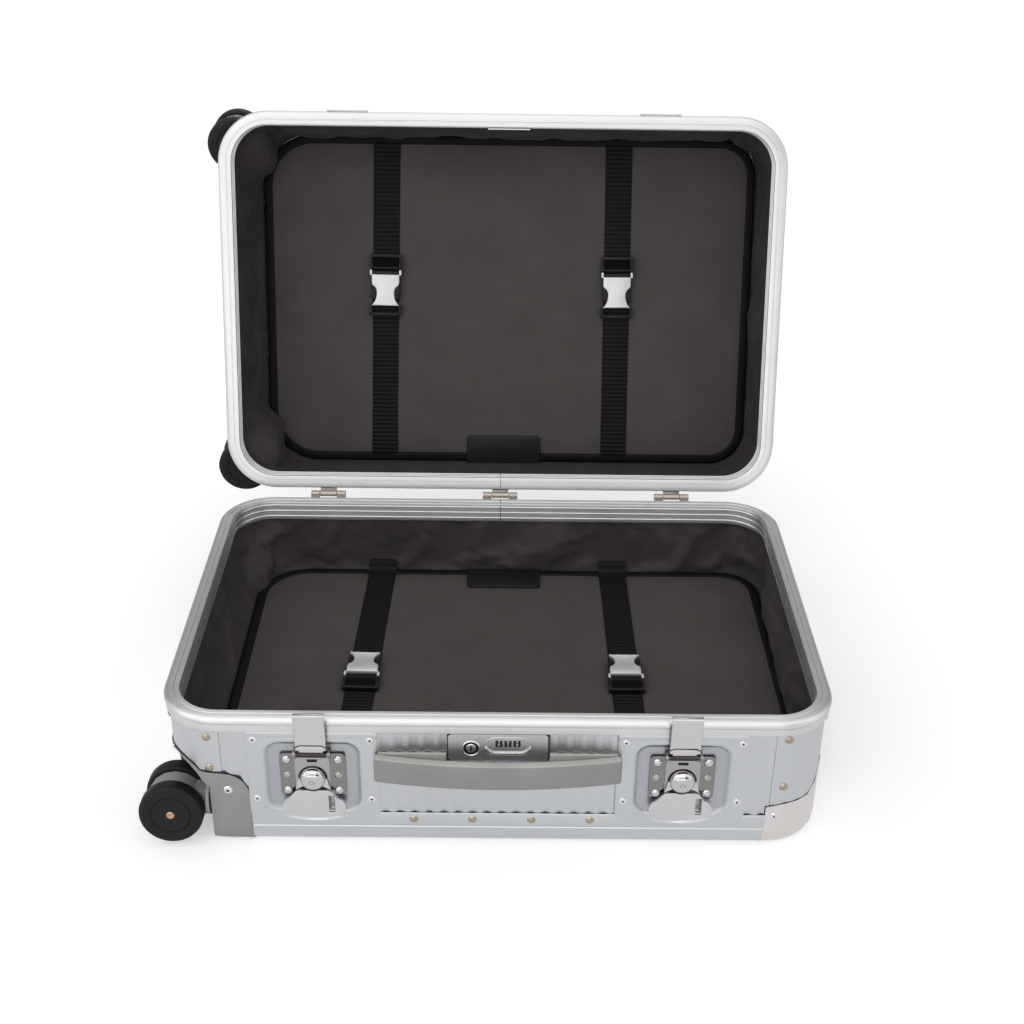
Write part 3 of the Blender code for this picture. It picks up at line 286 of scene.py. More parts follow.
# Fluted walls: thin aluminium sheet rolled into upright ribs, 11 mm apart, laid on the trays.
# The sheets run behind the edge strips, so each hollow ends in a small dark pocket.
flute_pitch = 0.011
flute_hollow_at = 0.0034
flute_depth = 0.0011
sheet_gap = 0.0001
sheet_foot = 0.0175
foot_over_well = 0.0735
well_from = 0.1125
rim_cover = 0.0122
corner_seam = 0.2065
end_seam = 0.1235
sides = {
    "front": (Matrix.Rotation(math.pi, 4, "Z"), wall_y, corner_seam),
    "back": (Matrix.Identity(4), wall_y, corner_seam),
    "right": (Matrix.Rotation(-math.pi / 2, 4, "Z"), wall_x, end_seam),
    "left": (Matrix.Rotation(math.pi / 2, 4, "Z"), wall_x, end_seam),
}


def grid(across, along):
    """A flat grid two units wide and long, to be bent into shape."""
    bm = bmesh.new()
    bmesh.ops.create_grid(bm, x_segments=across, y_segments=along, size=1.0)
    return bm


def rib_height(along):
    """Height of the rolled sheet across one flute, broad on the crest and narrow in the hollow."""
    wave = 0.5 - 0.5 * math.cos(2.0 * math.pi * (along - flute_hollow_at) / flute_pitch)
    return flute_depth * (1.0 - (1.0 - wave) ** 1.5)


for half, place, height in halves:
    for side, (facing, wall, seam) in sides.items():
        reach = seam - 0.0004
        bm = grid(int(2 * reach / flute_pitch * 10), 1)
        turned_sign = -1.0 if side in ("front", "right") else 1.0
        for v in bm.verts:
            along = v.co.x * reach
            foot = foot_over_well if side == "left" and abs(along) > well_from else sheet_foot
            up = foot if v.co.y < 0.0 else height - rim_cover
            under_latch = half + side == "basefront" and 0.0960 < abs(along) < 0.1800
            rise = 0.0 if under_latch else rib_height(turned_sign * along)
            v.co = Vector((along, wall + sheet_gap + rise, up))
        bmesh.ops.reverse_faces(bm, faces=bm.faces)
        piece(bm, half + "_fluted_" + side, half, sheet_satin,
              place=place @ facing, crease=60.0, closed=False)

bm = grid(370, 1)
for v in bm.verts:
    along = v.co.x * 0.2035
    v.co = Vector((along, v.co.y * 0.1335, -sheet_gap - rib_height(along)))
bmesh.ops.reverse_faces(bm, faces=bm.faces)
piece(bm, "lid_fluted_face", "lid", sheet_satin, place=lid_place, crease=60.0,
      closed=False)

# Edge strips: flat aluminium bands bent round the edges of the trays over the ends of the flutes.
# Dome rivets with a warm brass tint hold them to the tray.
strip_out = 0.0021
strip_top = 0.030
strip_wall = 0.00075
strip_rivets_up = 0.0242
strip_spans = {"front": (-0.2038, 0.1866), "back": (-0.1866, 0.2038), "right": (-0.1176, 0.1176),
               "left": (-0.0916, 0.0916)}


def only(geom, kind):
    """The items of one kind among those an operator gives back."""
    return [g for g in geom if isinstance(g, kind)]


def strip_section(wall, wrapped):
    """Points of a strip's outer face from its top edge down and round the tray's edge."""
    face = wall + strip_out
    points = [(face - 0.0004, strip_top), (face, strip_top - 0.0006), (face, 0.0182), (face - 0.0005, 0.0176),
              (face - 0.0005, 0.0168), (face, 0.0162), (face, tight_round)]
    for step in range(1, 11):
        angle = math.pi / 2 * step / 10
        out = strip_out if wrapped else strip_out * (1.0 - step / 10) + 0.0001
        points.append((wall - tight_round + (tight_round + out) * math.cos(angle),
                       tight_round - (tight_round + out) * math.sin(angle)))
    if wrapped:
        points.append((wall - 0.031, -strip_out))
    return points


def turned(bm, section, centre, axis, steps=14, welded=False):
    """Spins a section of (radius, height) points round an axis through a centre."""
    axis = Vector(axis).normalized()
    side = axis.orthogonal().normalized()
    ring = [bm.verts.new(Vector(centre) + axis * up + side * out) for out, up in section]
    wires = [bm.edges.new(pair) for pair in zip(ring, ring[1:])]
    bmesh.ops.spin(bm, geom=ring + wires, cent=centre, axis=axis, angle=2.0 * math.pi,
                   steps=steps, use_merge=True)
    if welded:
        bmesh.ops.remove_doubles(bm, verts=bm.verts, dist=0.000005)


def rivet(bm, centre, axis, radius=0.0033, rise=0.0019):
    """A dome head on its flat skirt."""
    turned(bm, ((0.0, rise), (0.45 * radius, 0.9 * rise), (0.8 * radius, 0.55 * rise),
                (radius, 0.1 * rise), (radius, -0.0006)), centre, axis)


brass_tint = satin_metal("rivet_brass_tint", (0.40, 0.345, 0.255), 0.12, grain=(300.0,) * 3)
for half, place, height in halves:
    for side, (start, end) in strip_spans.items():
        facing, wall, seam = sides[side]
        bm = bmesh.new()
        line = [bm.verts.new((start, out, up)) for out, up in strip_section(wall, half == "lid")]
        wires = [bm.edges.new(pair) for pair in zip(line, line[1:])]
        grown = bmesh.ops.extrude_edge_only(bm, edges=wires)["geom"]
        bmesh.ops.translate(bm, vec=(end - start, 0.0, 0.0), verts=only(grown, BMVert))
        bmesh.ops.recalc_face_normals(bm, faces=bm.faces)
        if sum(f.normal.y * f.calc_area() for f in bm.faces) < 0.0:
            bmesh.ops.reverse_faces(bm, faces=bm.faces)
        bmesh.ops.solidify(bm, geom=bm.faces[:], thickness=strip_wall)
        piece(bm, half + "_edge_strip_" + side, half, sheet_satin, place=place @ facing)
    heads = bmesh.new()
    for way in (-1, 1):
        for along in (-0.0635, -0.0189, 0.0259, 0.0705):
            rivet(heads, (along, way * (wall_y + strip_out), strip_rivets_up), (0, way, 0))
        for along in (-0.0446, 0.0, 0.0446):
            rivet(heads, (way * (wall_x + strip_out), along, strip_rivets_up), (way, 0, 0))
    piece(heads, half + "_strip_rivets", half, brass_tint, place=place)

# Corner plates: plain sheet bent round the four upright corners over the ends of the flutes.
# Rivets down each seam hold them; the corner pieces below overlap their feet.
plate_out = 0.0008
plate_wall = 0.0006
plate_foot = 0.026
plate_rim_cover = 0.0121
rivet_skin = plate_out - 0.0007
for half, place, height in halves:
    bm = bmesh.new()
    heads = bmesh.new()
    top = height - plate_rim_cover
    for sx, rivets_up in ((-1, (0.0705, 0.099)), (1, (0.0565, 0.101))):
        for sy in (-1, 1):
            centre = Vector((sx * (wall_x - corner_bend), sy * (wall_y - corner_bend), 0.0))
            out = sy * (wall_y + plate_out)
            seam = sx * corner_seam
            low, low_bend, top_bend, high = [bm.verts.new((x, out, up)) for x, up in (
                (seam, plate_foot), (centre.x, plate_foot), (centre.x, top), (seam, top))]
            bm.faces.new((low, low_bend, top_bend, high))
            bend = bm.edges.get((low_bend, top_bend))
            swept = bmesh.ops.spin(bm, geom=[low_bend, top_bend, bend], cent=centre, axis=(0, 0, 1),
                                   angle=math.pi / 2 * (1 if sx * sy < 0 else -1), steps=14)
            grown = bmesh.ops.extrude_edge_only(bm, edges=only(swept["geom_last"], BMEdge))["geom"]
            bmesh.ops.translate(bm, vec=(0.0, -sy * 0.001, 0.0), verts=only(grown, BMVert))
            for up in rivets_up:
                up = height - 0.019 if up > height - 0.016 else up
                rivet(heads, (sx * 0.2155, sy * (wall_y + rivet_skin), up), (0, sy, 0))
            end_up = rivets_up[1] - 0.002 if half == "base" else 0.089
            rivet(heads, (sx * (wall_x + rivet_skin), sy * 0.1325, end_up), (sx, 0, 0))
    for v in bm.verts:
        if v.co.x < 0.0 and v.co.z < 0.03:
            v.co.z = 0.0600 + 0.0128 * min(1.0, max(0.0, (-0.2150 - v.co.x) / 0.021))
    bmesh.ops.remove_doubles(bm, verts=bm.verts, dist=0.00001)
    bmesh.ops.recalc_face_normals(bm, faces=bm.faces)
    for f in bm.faces:
        middle = f.calc_center_median()
        if f.normal.x * middle.x + f.normal.y * middle.y < 0.0:
            f.normal_flip()
    bmesh.ops.solidify(bm, geom=bm.faces[:], thickness=plate_wall)
    piece(bm, half + "_corner_plates", half, sheet_satin, place=place)
    piece(heads, half + "_corner_rivets", half, brass_tint, place=place)

# Linings: thin dark nylon hung inside each tray, tucked under the rim and under the padded board.
# It is cut loose, so it creases on the walls and swells over the wheel wells at the left corners.
lining_shapes = {"base": (0.1003, 0.0445), "lid": (0.0918, 0.0195)}
lining_rows = 11
drape_frames = 24
drape_reach = 0.0065
board_shapes = {
    "base": (-0.2208, 0.2398, 0.1545, 0.046, 0.034),
    "lid": (-0.2255, 0.2380, 0.1550, 0.048, 0.034),
}
board_back = {"base": 0.0025, "lid": 0.0050}
well_y = 0.151
well_z = 0.034


def woven(name, colour, pitch, rough, sheen):
    """Close woven cloth: crossed yarns in the bump, slow mottling in the colour."""
    made, tree, shader = material_tree(name)
    spot = node(tree, "TexCoord", {}, "Object")
    yarns = [node(tree, "TexWave", {"Vector": spot, "Scale": 0.314 / pitch, "Distortion": 1.2, "Detail": 2.0,
                                    "Detail Scale": 0.4}, "Fac", wave_type="BANDS", bands_direction=way)
             for way in "XYZ"]
    crossed = maths(tree, "ADD", maths(tree, "ADD", yarns[0], yarns[1]), yarns[2])
    cloud = node(tree, "TexNoise", {"Vector": spot, "Scale": 22.0, "Detail": 4.0, "Roughness": 0.6})
    fill(tree, shader, {"Roughness": rough, "Sheen Weight": sheen, "Sheen Roughness": 0.45,
                        "Specular IOR Level": 0.12,
                        "Base Color": tinted(tree, cloud, colour, 0.88, 1.12, 0.25, 0.75),
                        "Normal": bumped(tree, crossed, 0.45, 0.00012)})
    return made


def round_corners(bm, corners, offset):
    """Rounds the corners of a flat face."""
    bmesh.ops.bevel(bm, geom=corners, offset=offset, segments=12, profile=0.5, affect="VERTICES", material=-1)


def outline(bm, left, right, half_width, left_corner, right_corner, up):
    """A rounded oblong face, its corners eased with the operator for corner bevels."""
    corners = [bm.verts.new((x, y, up)) for x, y in ((left, -half_width), (right, -half_width),
                                                     (right, half_width), (left, half_width))]
    bm.faces.new(corners)
    round_corners(bm, [corners[0], corners[3]], left_corner)
    square = [v for v in bm.verts if abs(v.co.x - right) < 1e-6 and abs(abs(v.co.y) - half_width) < 1e-6
              and abs(v.co.z - up) < 1e-6]
    round_corners(bm, square, right_corner)
    level_faces = [f for f in bm.faces if abs(f.calc_center_median().z - up) < 1e-6]
    return max(level_faces, key=lambda f: f.calc_area())


def eased_step(value):
    """Smooth step from 0 to 1."""
    value = max(0.0, min(1.0, value))
    return value * value * (3.0 - 2.0 * value)


def over_fittings(point, half):
    """Moves a point of the lining clear of the wheel wells, the handle rails and the back of the lock."""
    if half == "base" and point.x > 0.2368 and 0.048 < point.z < 0.076:
        point.x -= (point.x - 0.2368) * eased_step((0.096 - abs(point.y)) / (0.096 - 0.076))
    if half == "base" and point.y < -0.1545 and 0.064 < point.z < 0.104:
        point.y -= (point.y + 0.1545) * eased_step((0.116 - abs(point.x)) / (0.116 - 0.094))
    if point.x < -0.19:
        from_axle = math.hypot(abs(point.y) - well_y, point.z - well_z)
        point.x = max(point.x, -0.2122 - 0.030 * max(0.0, (from_axle - 0.028) / 0.020) ** 2)
    return point


lining_nylon = woven("lining_nylon", (0.058, 0.052, 0.049), 0.0009, 0.45, 0.05)
linings = {}
for half, place, height in halves:
    top, foot = lining_shapes[half]
    left, right_end, half_width, left_corner, right_corner = board_shapes[half]
    bm = bmesh.new()
    upper = outline(bm, -0.2430, 0.2430, 0.1600, 0.0360, 0.0360, top)
    lower = outline(bm, left - 0.001, right_end + 0.001, half_width + 0.0008, left_corner, right_corner, foot)
    bmesh.ops.translate(bm, vec=(0.0, board_back[half], 0.0), verts=lower.verts)
    bmesh.ops.delete(bm, geom=[upper, lower], context="FACES_ONLY")
    bmesh.ops.bridge_loops(bm, edges=bm.edges[:])
    uprights = [e for e in bm.edges if abs(e.verts[0].co.z - e.verts[1].co.z) > 0.01]
    bmesh.ops.subdivide_edges(bm, edges=uprights, cuts=lining_rows - 1, use_grid_fill=True)
    for spacing_round in range(6):
        level_edges = [e for e in bm.edges if abs(e.verts[0].co.z - e.verts[1].co.z) < 0.0006]
        wide = [e for e in level_edges if e.calc_length() > 0.0085]
        if not wide:
            break
        bmesh.ops.subdivide_edges(bm, edges=wide, cuts=1, use_grid_fill=True)
    bmesh.ops.recalc_face_normals(bm, faces=bm.faces)
    bm.normal_update()
    for v in bm.verts:
        x, y, z = v.co
        inward = Vector((v.normal.x, v.normal.y, 0.0))
        if inward.length < 1e-6:
            inward = Vector((-x, -y, 0.0))
        inward.normalize()
        if inward.dot(Vector((x, y, 0.0))) > 0.0:
            inward.negate()
        down = (top - z) / (top - foot)
        free = math.sin(math.pi * min(1.0, max(0.0, down)))
        slack = -0.0016 * free
        ruck = noise.noise(Vector((x * 9.0 + 12.0 * z, y * 9.0, z * 20.0)))
        crease = 1.0 - abs(noise.noise(Vector((x * 15.0 - 18.0 * z, y * 15.0, z * 24.0 + 3.0))))
        turn_at = math.degrees(math.atan2(max(0.0, abs(x) - 0.207), max(1e-6, abs(y) - 0.124)))
        pleat = sum(math.exp(-((turn_at - at) / 6.0) ** 2) for at in (20.0, 47.0, 72.0))
        folds = 0.0036 * ruck + 0.0034 * crease ** 5 + 0.0026 * pleat - 0.0010
        v.co += inward * (slack + free * folds)
        v.co = over_fittings(v.co, half)
    made = piece(bm, half + "_lining_nylon", half, lining_nylon, place=place, crease=180.0,
                 closed=False, replaces=half + "_lining")
    linings[half] = made
    held = made.vertex_groups.new(name="held")
    to_half = place.inverted()
    for v in made.data.vertices:
        up = (to_half @ v.co).z
        if up > top - 0.0015 or up < foot + 0.0015:
            held.add([v.index], 1.0, "REPLACE")

scene.frame_start = 1
scene.frame_end = drape_frames
drape_settings = {
    "quality": 5, "mass": 0.12, "tension_stiffness": 18.0, "compression_stiffness": 18.0,
    "shear_stiffness": 6.0, "bending_stiffness": 1.2, "air_damping": 2.0, "vertex_group_mass": "held",
    "shrink_min": -0.05, "shrink_max": -0.05,
}
for cloth in linings.values():
    drape = cloth.modifiers.new("drape", "CLOTH")
    for key, value in drape_settings.items():
        setattr(drape.settings, key, value)
    drape.collision_settings.use_collision = False
    drape.collision_settings.use_self_collision = False
    drape.point_cache.frame_start = 1
    drape.point_cache.frame_end = drape_frames
for frame_at in range(1, drape_frames + 1):
    scene.frame_set(frame_at)
for half, place, height in halves:
    cloth = linings[half]
    draped = cloth.evaluated_get(bpy.context.evaluated_depsgraph_get())
    shaped = bpy.data.meshes.new_from_object(draped)
    to_half = place.inverted()
    for before, after in zip(cloth.data.vertices, shaped.vertices):
        moved = after.co - before.co
        if moved.length > drape_reach:
            moved *= drape_reach / moved.length
        spot = to_half @ (before.co + moved)
        spot.x = max(-0.2452, min(0.2452, spot.x))
        spot.y = max(-0.1624, min(0.1624, spot.y))
        before.co = place @ over_fittings(spot, half)
    bpy.data.meshes.remove(shaped)
    cloth.modifiers.clear()
    smooth = cloth.modifiers.new("smooth_cloth", "SUBSURF")
    smooth.levels = 2
    smooth.render_levels = 2
scene.frame_set(1)

# Padded boards: stiff panels under thin foam and dark cloth, one on each tray's floor.
# A folded black tape is sewn round the edge, and the straps press a shallow dip across the foam.
board_levels = {"base": (0.0385, 0.0462), "lid": (0.0138, 0.0215)}
board_cover = woven("board_cover_cloth", (0.084, 0.075, 0.072), 0.0012, 0.62, 0.06)
edge_tape = woven("board_edge_tape", (0.0075, 0.0065, 0.0065), 0.0007, 0.55, 0.0)
tape_wall = 0.0012
strap_lines = {
    "base": ((-0.1093, -0.1185), (0.1062, 0.1075)),
    "lid": ((-0.1135, -0.1092), (0.1110, 0.1082)),
}


def in_round(x, y, half_x, half_y, corner):
    """Pulls a point of a square grid into a rounded oblong, and gives its distance from the edge."""
    over_x = abs(x) - (half_x - corner)
    over_y = abs(y) - (half_y - corner)
    if over_x <= 0.0 or over_y <= 0.0:
        return x, y, min(half_x - abs(x), half_y - abs(y))
    radius = max(over_x, over_y)
    angle = math.atan2(over_y, over_x)
    return (math.copysign(half_x - corner + radius * math.cos(angle), x),
            math.copysign(half_y - corner + radius * math.sin(angle), y), corner - radius)


def closed_under(bm, level):
    """Drops a wall from a grid's border to a level and closes it there."""
    grown = bmesh.ops.extrude_edge_only(bm, edges=[e for e in bm.edges if e.is_boundary])["geom"]
    for v in only(grown, BMVert):
        v.co.z = level
    bmesh.ops.contextual_create(bm, geom=[e for e in only(grown, BMEdge) if e.is_boundary])


for half, place, height in halves:
    left, right_end, half_width, left_corner, right_corner = board_shapes[half]
    under, face_level = board_levels[half]
    bm = grid(116, 78)
    half_x = (right_end - left) / 2 - tape_wall
    half_y = half_width - tape_wall
    for v in bm.verts:
        corner = left_corner if v.co.x * half_x < 0.0 else right_corner
        x, y, from_edge = in_round(v.co.x * half_x, v.co.y * half_y, half_x, half_y, corner)
        x += (left + right_end) / 2
        roll_over = max(0.0, 1.0 - from_edge / 0.003) ** 2 * 0.0022
        crown = 0.0016 * (1.0 - math.exp(-from_edge / 0.022))
        along = (0.15 - y) / 0.30
        dip = 0.0
        for back_x, front_x in strap_lines[half]:
            across = abs(x - (back_x + (front_x - back_x) * along))
            dip += 0.0008 * math.exp(-(across / 0.017) ** 4)
        ease = 0.00035 * noise.noise(Vector((x * 19.0, y * 19.0, 1.7)))
        v.co = Vector((x, y + board_back[half], face_level - roll_over + crown - dip + ease))
    closed_under(bm, under)
    pad = piece(bm, half + "_board_pad", half, board_cover, place=place, crease=50.0,
                replaces=half + "_board")
    bm = bmesh.new()
    face = outline(bm, left, right_end, half_width, left_corner, right_corner, under + 0.0006)
    grown = bmesh.ops.extrude_face_region(bm, geom=[face])["geom"]
    top_face = only(grown, BMFace)[0]
    bmesh.ops.translate(bm, vec=(0.0, 0.0, face_level - 0.0002 - under), verts=only(grown, BMVert))
    for inset, rise in ((0.0009, 0.0009), (0.0016, 0.0004), (0.0030, 0.0001), (0.0022, -0.0003),
                        (0.0004, -0.0009)):
        bmesh.ops.inset_region(bm, faces=[top_face], thickness=inset, depth=rise, use_even_offset=True)
    bmesh.ops.delete(bm, geom=[top_face, face], context="FACES_ONLY")
    bmesh.ops.translate(bm, vec=(0.0, board_back[half], 0.0), verts=bm.verts)
    piece(bm, half + "_board_tape", half, edge_tape, place=place, crease=60.0)

# Packing straps: ribbed black webbing laid across each board, its ends tucked behind the edge.
# Each runs through a side-release buckle: a black moulded clip under a waisted bright plate.


def ribbed_webbing(name, colour, ribs):
    """Woven tape: ribs across its length and a herringbone in the bump, read from the piece's own map."""
    made, tree, shader = material_tree(name)
    spot = node(tree, "UVMap", {}, uv_map="tape_map")
    stretched = node(tree, "Mapping", {"Vector": spot, "Scale": (1.0, ribs, 1.0)})
    rib = node(tree, "TexWave", {"Vector": stretched, "Scale": 0.314, "Distortion": 0.25, "Detail": 1.0},
               "Fac", wave_type="BANDS", bands_direction="Y")
    fine = node(tree, "Mapping", {"Vector": spot, "Scale": (34.0, ribs * 4.0, 1.0)})
    yarn = node(tree, "TexNoise", {"Vector": fine, "Scale": 1.0, "Detail": 2.0})
    weave = maths(tree, "ADD", rib, maths(tree, "MULTIPLY", yarn, 0.35))
    fill(tree, shader, {"Roughness": 0.58, "Specular IOR Level": 0.10,
                        "Base Color": tinted(tree, weave, colour, 0.30, 1.75, 0.1, 0.9),
                        "Normal": bumped(tree, weave, 0.8, 0.0006)})
    return made


def moulded(name, colour, rough):
    """Moulded plastic: fine spark grain, colour and gloss that wander a little."""
    made, tree, shader = material_tree(name)
    spot = node(tree, "TexCoord", {}, "Object")
    spark = node(tree, "TexNoise", {"Vector": spot, "Scale": 1600.0, "Detail": 2.0})
    cloud = node(tree, "TexNoise", {"Vector": spot, "Scale": 35.0, "Detail": 3.0})
    fill(tree, shader, {"Specular IOR Level": 0.22,
                        "Base Color": tinted(tree, cloud, colour, 0.92, 1.06, 0.3, 0.7),
                        "Roughness": ranged(tree, cloud, 0.3, 0.7, rough - 0.05, rough + 0.05),
                        "Normal": bumped(tree, spark, 0.3, 0.00003)})
    return made


def round_edges(bm, edges, offset, segments=2):
    """Eases edges with a small round."""
    bmesh.ops.bevel(bm, geom=edges, offset=offset, segments=segments, profile=0.5, affect="EDGES",
                    material=-1)


def plate_from(bm, points, low, thick, ease):
    """A flat plate cut to an outline, its edges eased."""
    face = bm.faces.new([bm.verts.new((x, y, low)) for x, y in points])
    grown = bmesh.ops.extrude_face_region(bm, geom=[face])["geom"]
    bmesh.ops.translate(bm, vec=(0.0, 0.0, thick), verts=only(grown, BMVert))
    if ease > 0.0:
        round_edges(bm, list({e for f in only(grown, BMFace) for e in f.edges}), ease)


def bar(bm, size, centre, ease=0.0006):
    """A short bar with eased edges."""
    made = bmesh.ops.create_cube(bm, size=1.0)["verts"]
    bmesh.ops.scale(bm, vec=size, verts=made)
    bmesh.ops.translate(bm, vec=centre, verts=made)
    round_edges(bm, list({e for v in made for e in v.link_edges}), ease)


def tape_grid(across, along):
    """A square grid with the map that the webbing reads."""
    bm = bmesh.new()
    bm.loops.layers.uv.new("tape_map")
    bmesh.ops.create_grid(bm, x_segments=across, y_segments=along, size=0.5, calc_uvs=True)
    return bm


webbing_black = ribbed_webbing("strap_webbing", (0.0085, 0.0080, 0.0080), 76.0)
clip_black = moulded("buckle_black", (0.012, 0.012, 0.013), 0.32)
clip_bright = satin_metal("buckle_bright_plate", (0.76, 0.76, 0.77), 0.34, grain=(500.0,) * 3)
clip_bright.node_tree.nodes["Principled BSDF"].inputs["Metallic"].default_value = 0.45
strap_width = 0.025
strap_back = 0.1565
strap_run = 0.313
buckle_at = {"base": -0.0100, "lid": -0.0115}
clip_side = 0.0139
half_clip_plate = (
    (0.0131, -0.0100), (0.0131, -0.0020), (0.0124, 0.0000), (0.0098, 0.0022), (0.0084, 0.0052),
    (0.0083, 0.0085), (0.0088, 0.0120), (0.0102, 0.0155), (0.0126, 0.0188), (0.0130, 0.0194),
)
for half, place, height in halves:
    strap_up = board_levels[half][1] + 0.0021
    middle_y = buckle_at[half]
    for side, (back_x, front_x) in zip(("left", "right"), strap_lines[half]):
        bm = tape_grid(6, 150)
        for v in bm.verts:
            across = v.co.x
            along = 0.5 - v.co.y
            y = strap_back + board_back[half] - strap_run * along
            lift = 0.0032 * math.exp(-((y - middle_y) / 0.030) ** 4) * 0.5
            tuck = max(0.0, abs(y - board_back[half]) - 0.1475) / 0.009
            if half == "base" and y > 0.0:
                tuck = 0.0
                lift += 0.0085 * eased_step((y - 0.1505) / 0.0080)
            wave = 0.0004 * noise.noise(Vector((y * 26.0, back_x * 40.0, 0.4)))
            wander = 0.0003 * noise.noise(Vector((y * 6.0, back_x * 50.0, 5.0)))
            x = back_x + (front_x - back_x) * along + wander
            crown = -0.0005 * (2.0 * across) ** 4
            v.co = Vector((x + strap_width * across, y, strap_up + lift + wave + crown - 0.0065 * tuck ** 2))
        bmesh.ops.solidify(bm, geom=bm.faces[:], thickness=0.0011)
        piece(bm, half + "_strap_tape_" + side, half, webbing_black, place=place,
              replaces=half + "_strap_" + side)
        centre_x = back_x + (front_x - back_x) * (strap_back - middle_y) / strap_run
        slope = (front_x - back_x) / -strap_run
        lean = (Matrix.Translation((centre_x, middle_y, strap_up + 0.0012))
                @ Matrix.Rotation(-math.atan(slope), 4, "Z"))
        if half == "base":
            lean = lean @ Matrix.Translation((0.0, 0.0, 0.0012)) @ Matrix.Rotation(math.radians(4.0), 4, "X")
        clip = bmesh.new()
        plate = bmesh.new()
        shape = [(x, y * 0.80 if half == "base" and y > 0.0 else y) for x, y in half_clip_plate]
        plate_from(plate, [(-x, y) for x, y in shape] + shape[::-1], 0.0040, 0.0022, 0.0009)
        for sx in (-1, 1):
            bar(clip, (0.0026, 0.0190, 0.0046), (sx * clip_side, -0.0190, 0.0023))
            if half == "lid":
                bar(clip, (0.0026, 0.0092, 0.0046), (sx * clip_side, 0.0242, 0.0023))
            bar(clip, (0.0046, 0.0200, 0.0040), (sx * 0.0116, 0.0035, 0.0022), 0.0012)
            bar(plate, (0.0022, 0.0052, 0.0030), (sx * clip_side, -0.0118, 0.0046), 0.0007)
        bar(clip, (0.0290, 0.0030, 0.0030), (0.0, -0.0276, 0.0030))
        bar(clip, (0.0290, 0.0048, 0.0036), (0.0, -0.0178, 0.0034))
        bar(clip, (0.0290, 0.0030, 0.0030), (0.0, -0.0115, 0.0030))
        if half == "lid":
            bar(clip, (0.0290, 0.0030, 0.0030), (0.0, 0.0278, 0.0026))
        bar(clip, (0.0210, 0.0240, 0.0036), (0.0, 0.0020, 0.0020))
        piece(clip, half + "_buckle_clip_" + side, half, clip_black, place=place @ lean)
        loop = tape_grid(4, 26)
        for v in loop.verts:
            along = v.co.y + 0.5
            hump = 0.0032 * math.sin(math.pi * along) ** 0.6
            v.co = Vector((0.0250 * v.co.x, -0.0270 + 0.0155 * along, 0.0022 + hump))
        bmesh.ops.solidify(loop, geom=loop.faces[:], thickness=0.0010)
        piece(loop, half + "_buckle_loop_" + side, half, webbing_black, place=place @ lean)
        piece(plate, half + "_buckle_plate_" + side, half, clip_bright, place=place @ lean)

# Rims: extruded aluminium channel bent round each tray and butted at the middle of the back.
# A rounded bead runs round the outside, a fine groove on the face, and three ribs on the inner wall.
# The gloss stretches across the drawn grain, whose run is stored on the mesh.
rim_satin = satin_metal("aluminium_rim_brushed", (0.72, 0.725, 0.73), 0.40, (420.0,) * 3, 0.000002)
tree = rim_satin.node_tree
run = node(tree, "Attribute", {}, "Vector", attribute_name="grain_run")
fill(tree, tree.nodes["Principled BSDF"], {"Tangent": run, "Anisotropic": 0.75, "Anisotropic Rotation": 0.25})
seam_dark = moulded("seam_shadow", (0.035, 0.035, 0.036), 0.7)
rim_half_x = 0.2525
rim_half_y = 0.1695
rim_bend = 0.045
rim_section = [
    (0.0014, 0.0124), (0.0009, 0.0122), (0.0007, 0.0116), (0.0007, 0.0066), (0.0014, 0.0062),
    (0.0014, 0.0057), (0.0003, 0.0051), (0.0000, 0.0042), (0.0001, 0.0030), (0.0007, 0.0017),
    (0.0017, 0.0008), (0.0031, 0.0002), (0.0046, 0.0000), (0.0070, 0.0000), (0.0073, 0.0004),
    (0.0079, 0.0004), (0.0082, 0.0000), (0.0108, 0.0000), (0.0117, 0.0002), (0.0120, 0.0009),
]
for rib_at in (0.0034, 0.0090, 0.0146):
    rim_section += [(0.0120, rib_at - 0.0005), (0.0124, rib_at - 0.0004), (0.0126, rib_at),
                    (0.0124, rib_at + 0.0004), (0.0120, rib_at + 0.0005)]
rim_section += [(0.0120, 0.0180), (0.0117, 0.0184), (0.0108, 0.0184), (0.0105, 0.0180), (0.0105, 0.0022),
                (0.0030, 0.0022), (0.0030, 0.0124)]
straight_x = rim_half_x - rim_bend
straight_y = rim_half_y - rim_bend
rim_runs = (
    ((straight_x, 0.0), (1, 1)), ((0.0, -2 * straight_y), (1, -1)), ((-2 * straight_x, 0.0), (-1, -1)),
    ((0.0, 2 * straight_y), (-1, 1)), ((straight_x, 0.0), None),
)


def swept_rim(bm, height):
    """Sweeps the rim's section round the tray: straight runs extruded, corners spun."""
    ring = [bm.verts.new((0.0, rim_half_y - inset, height - depth)) for inset, depth in rim_section]
    wires = [bm.edges.new((ring[i - 1], ring[i])) for i in range(len(ring))]
    for along, corner in rim_runs:
        grown = bmesh.ops.extrude_edge_only(bm, edges=wires)["geom"]
        ring = only(grown, BMVert)
        bmesh.ops.translate(bm, vec=along + (0.0,), verts=ring)
        wires = [e for e in only(grown, BMEdge) if all(v in ring for v in e.verts)]
        if corner is not None:
            centre = (corner[0] * straight_x, corner[1] * straight_y, 0.0)
            swept = bmesh.ops.spin(bm, geom=ring + wires, cent=centre, axis=(0, 0, 1),
                                   angle=-math.pi / 2, steps=14)
            wires = only(swept["geom_last"], BMEdge)
    bmesh.ops.remove_doubles(bm, verts=bm.verts, dist=0.000005)


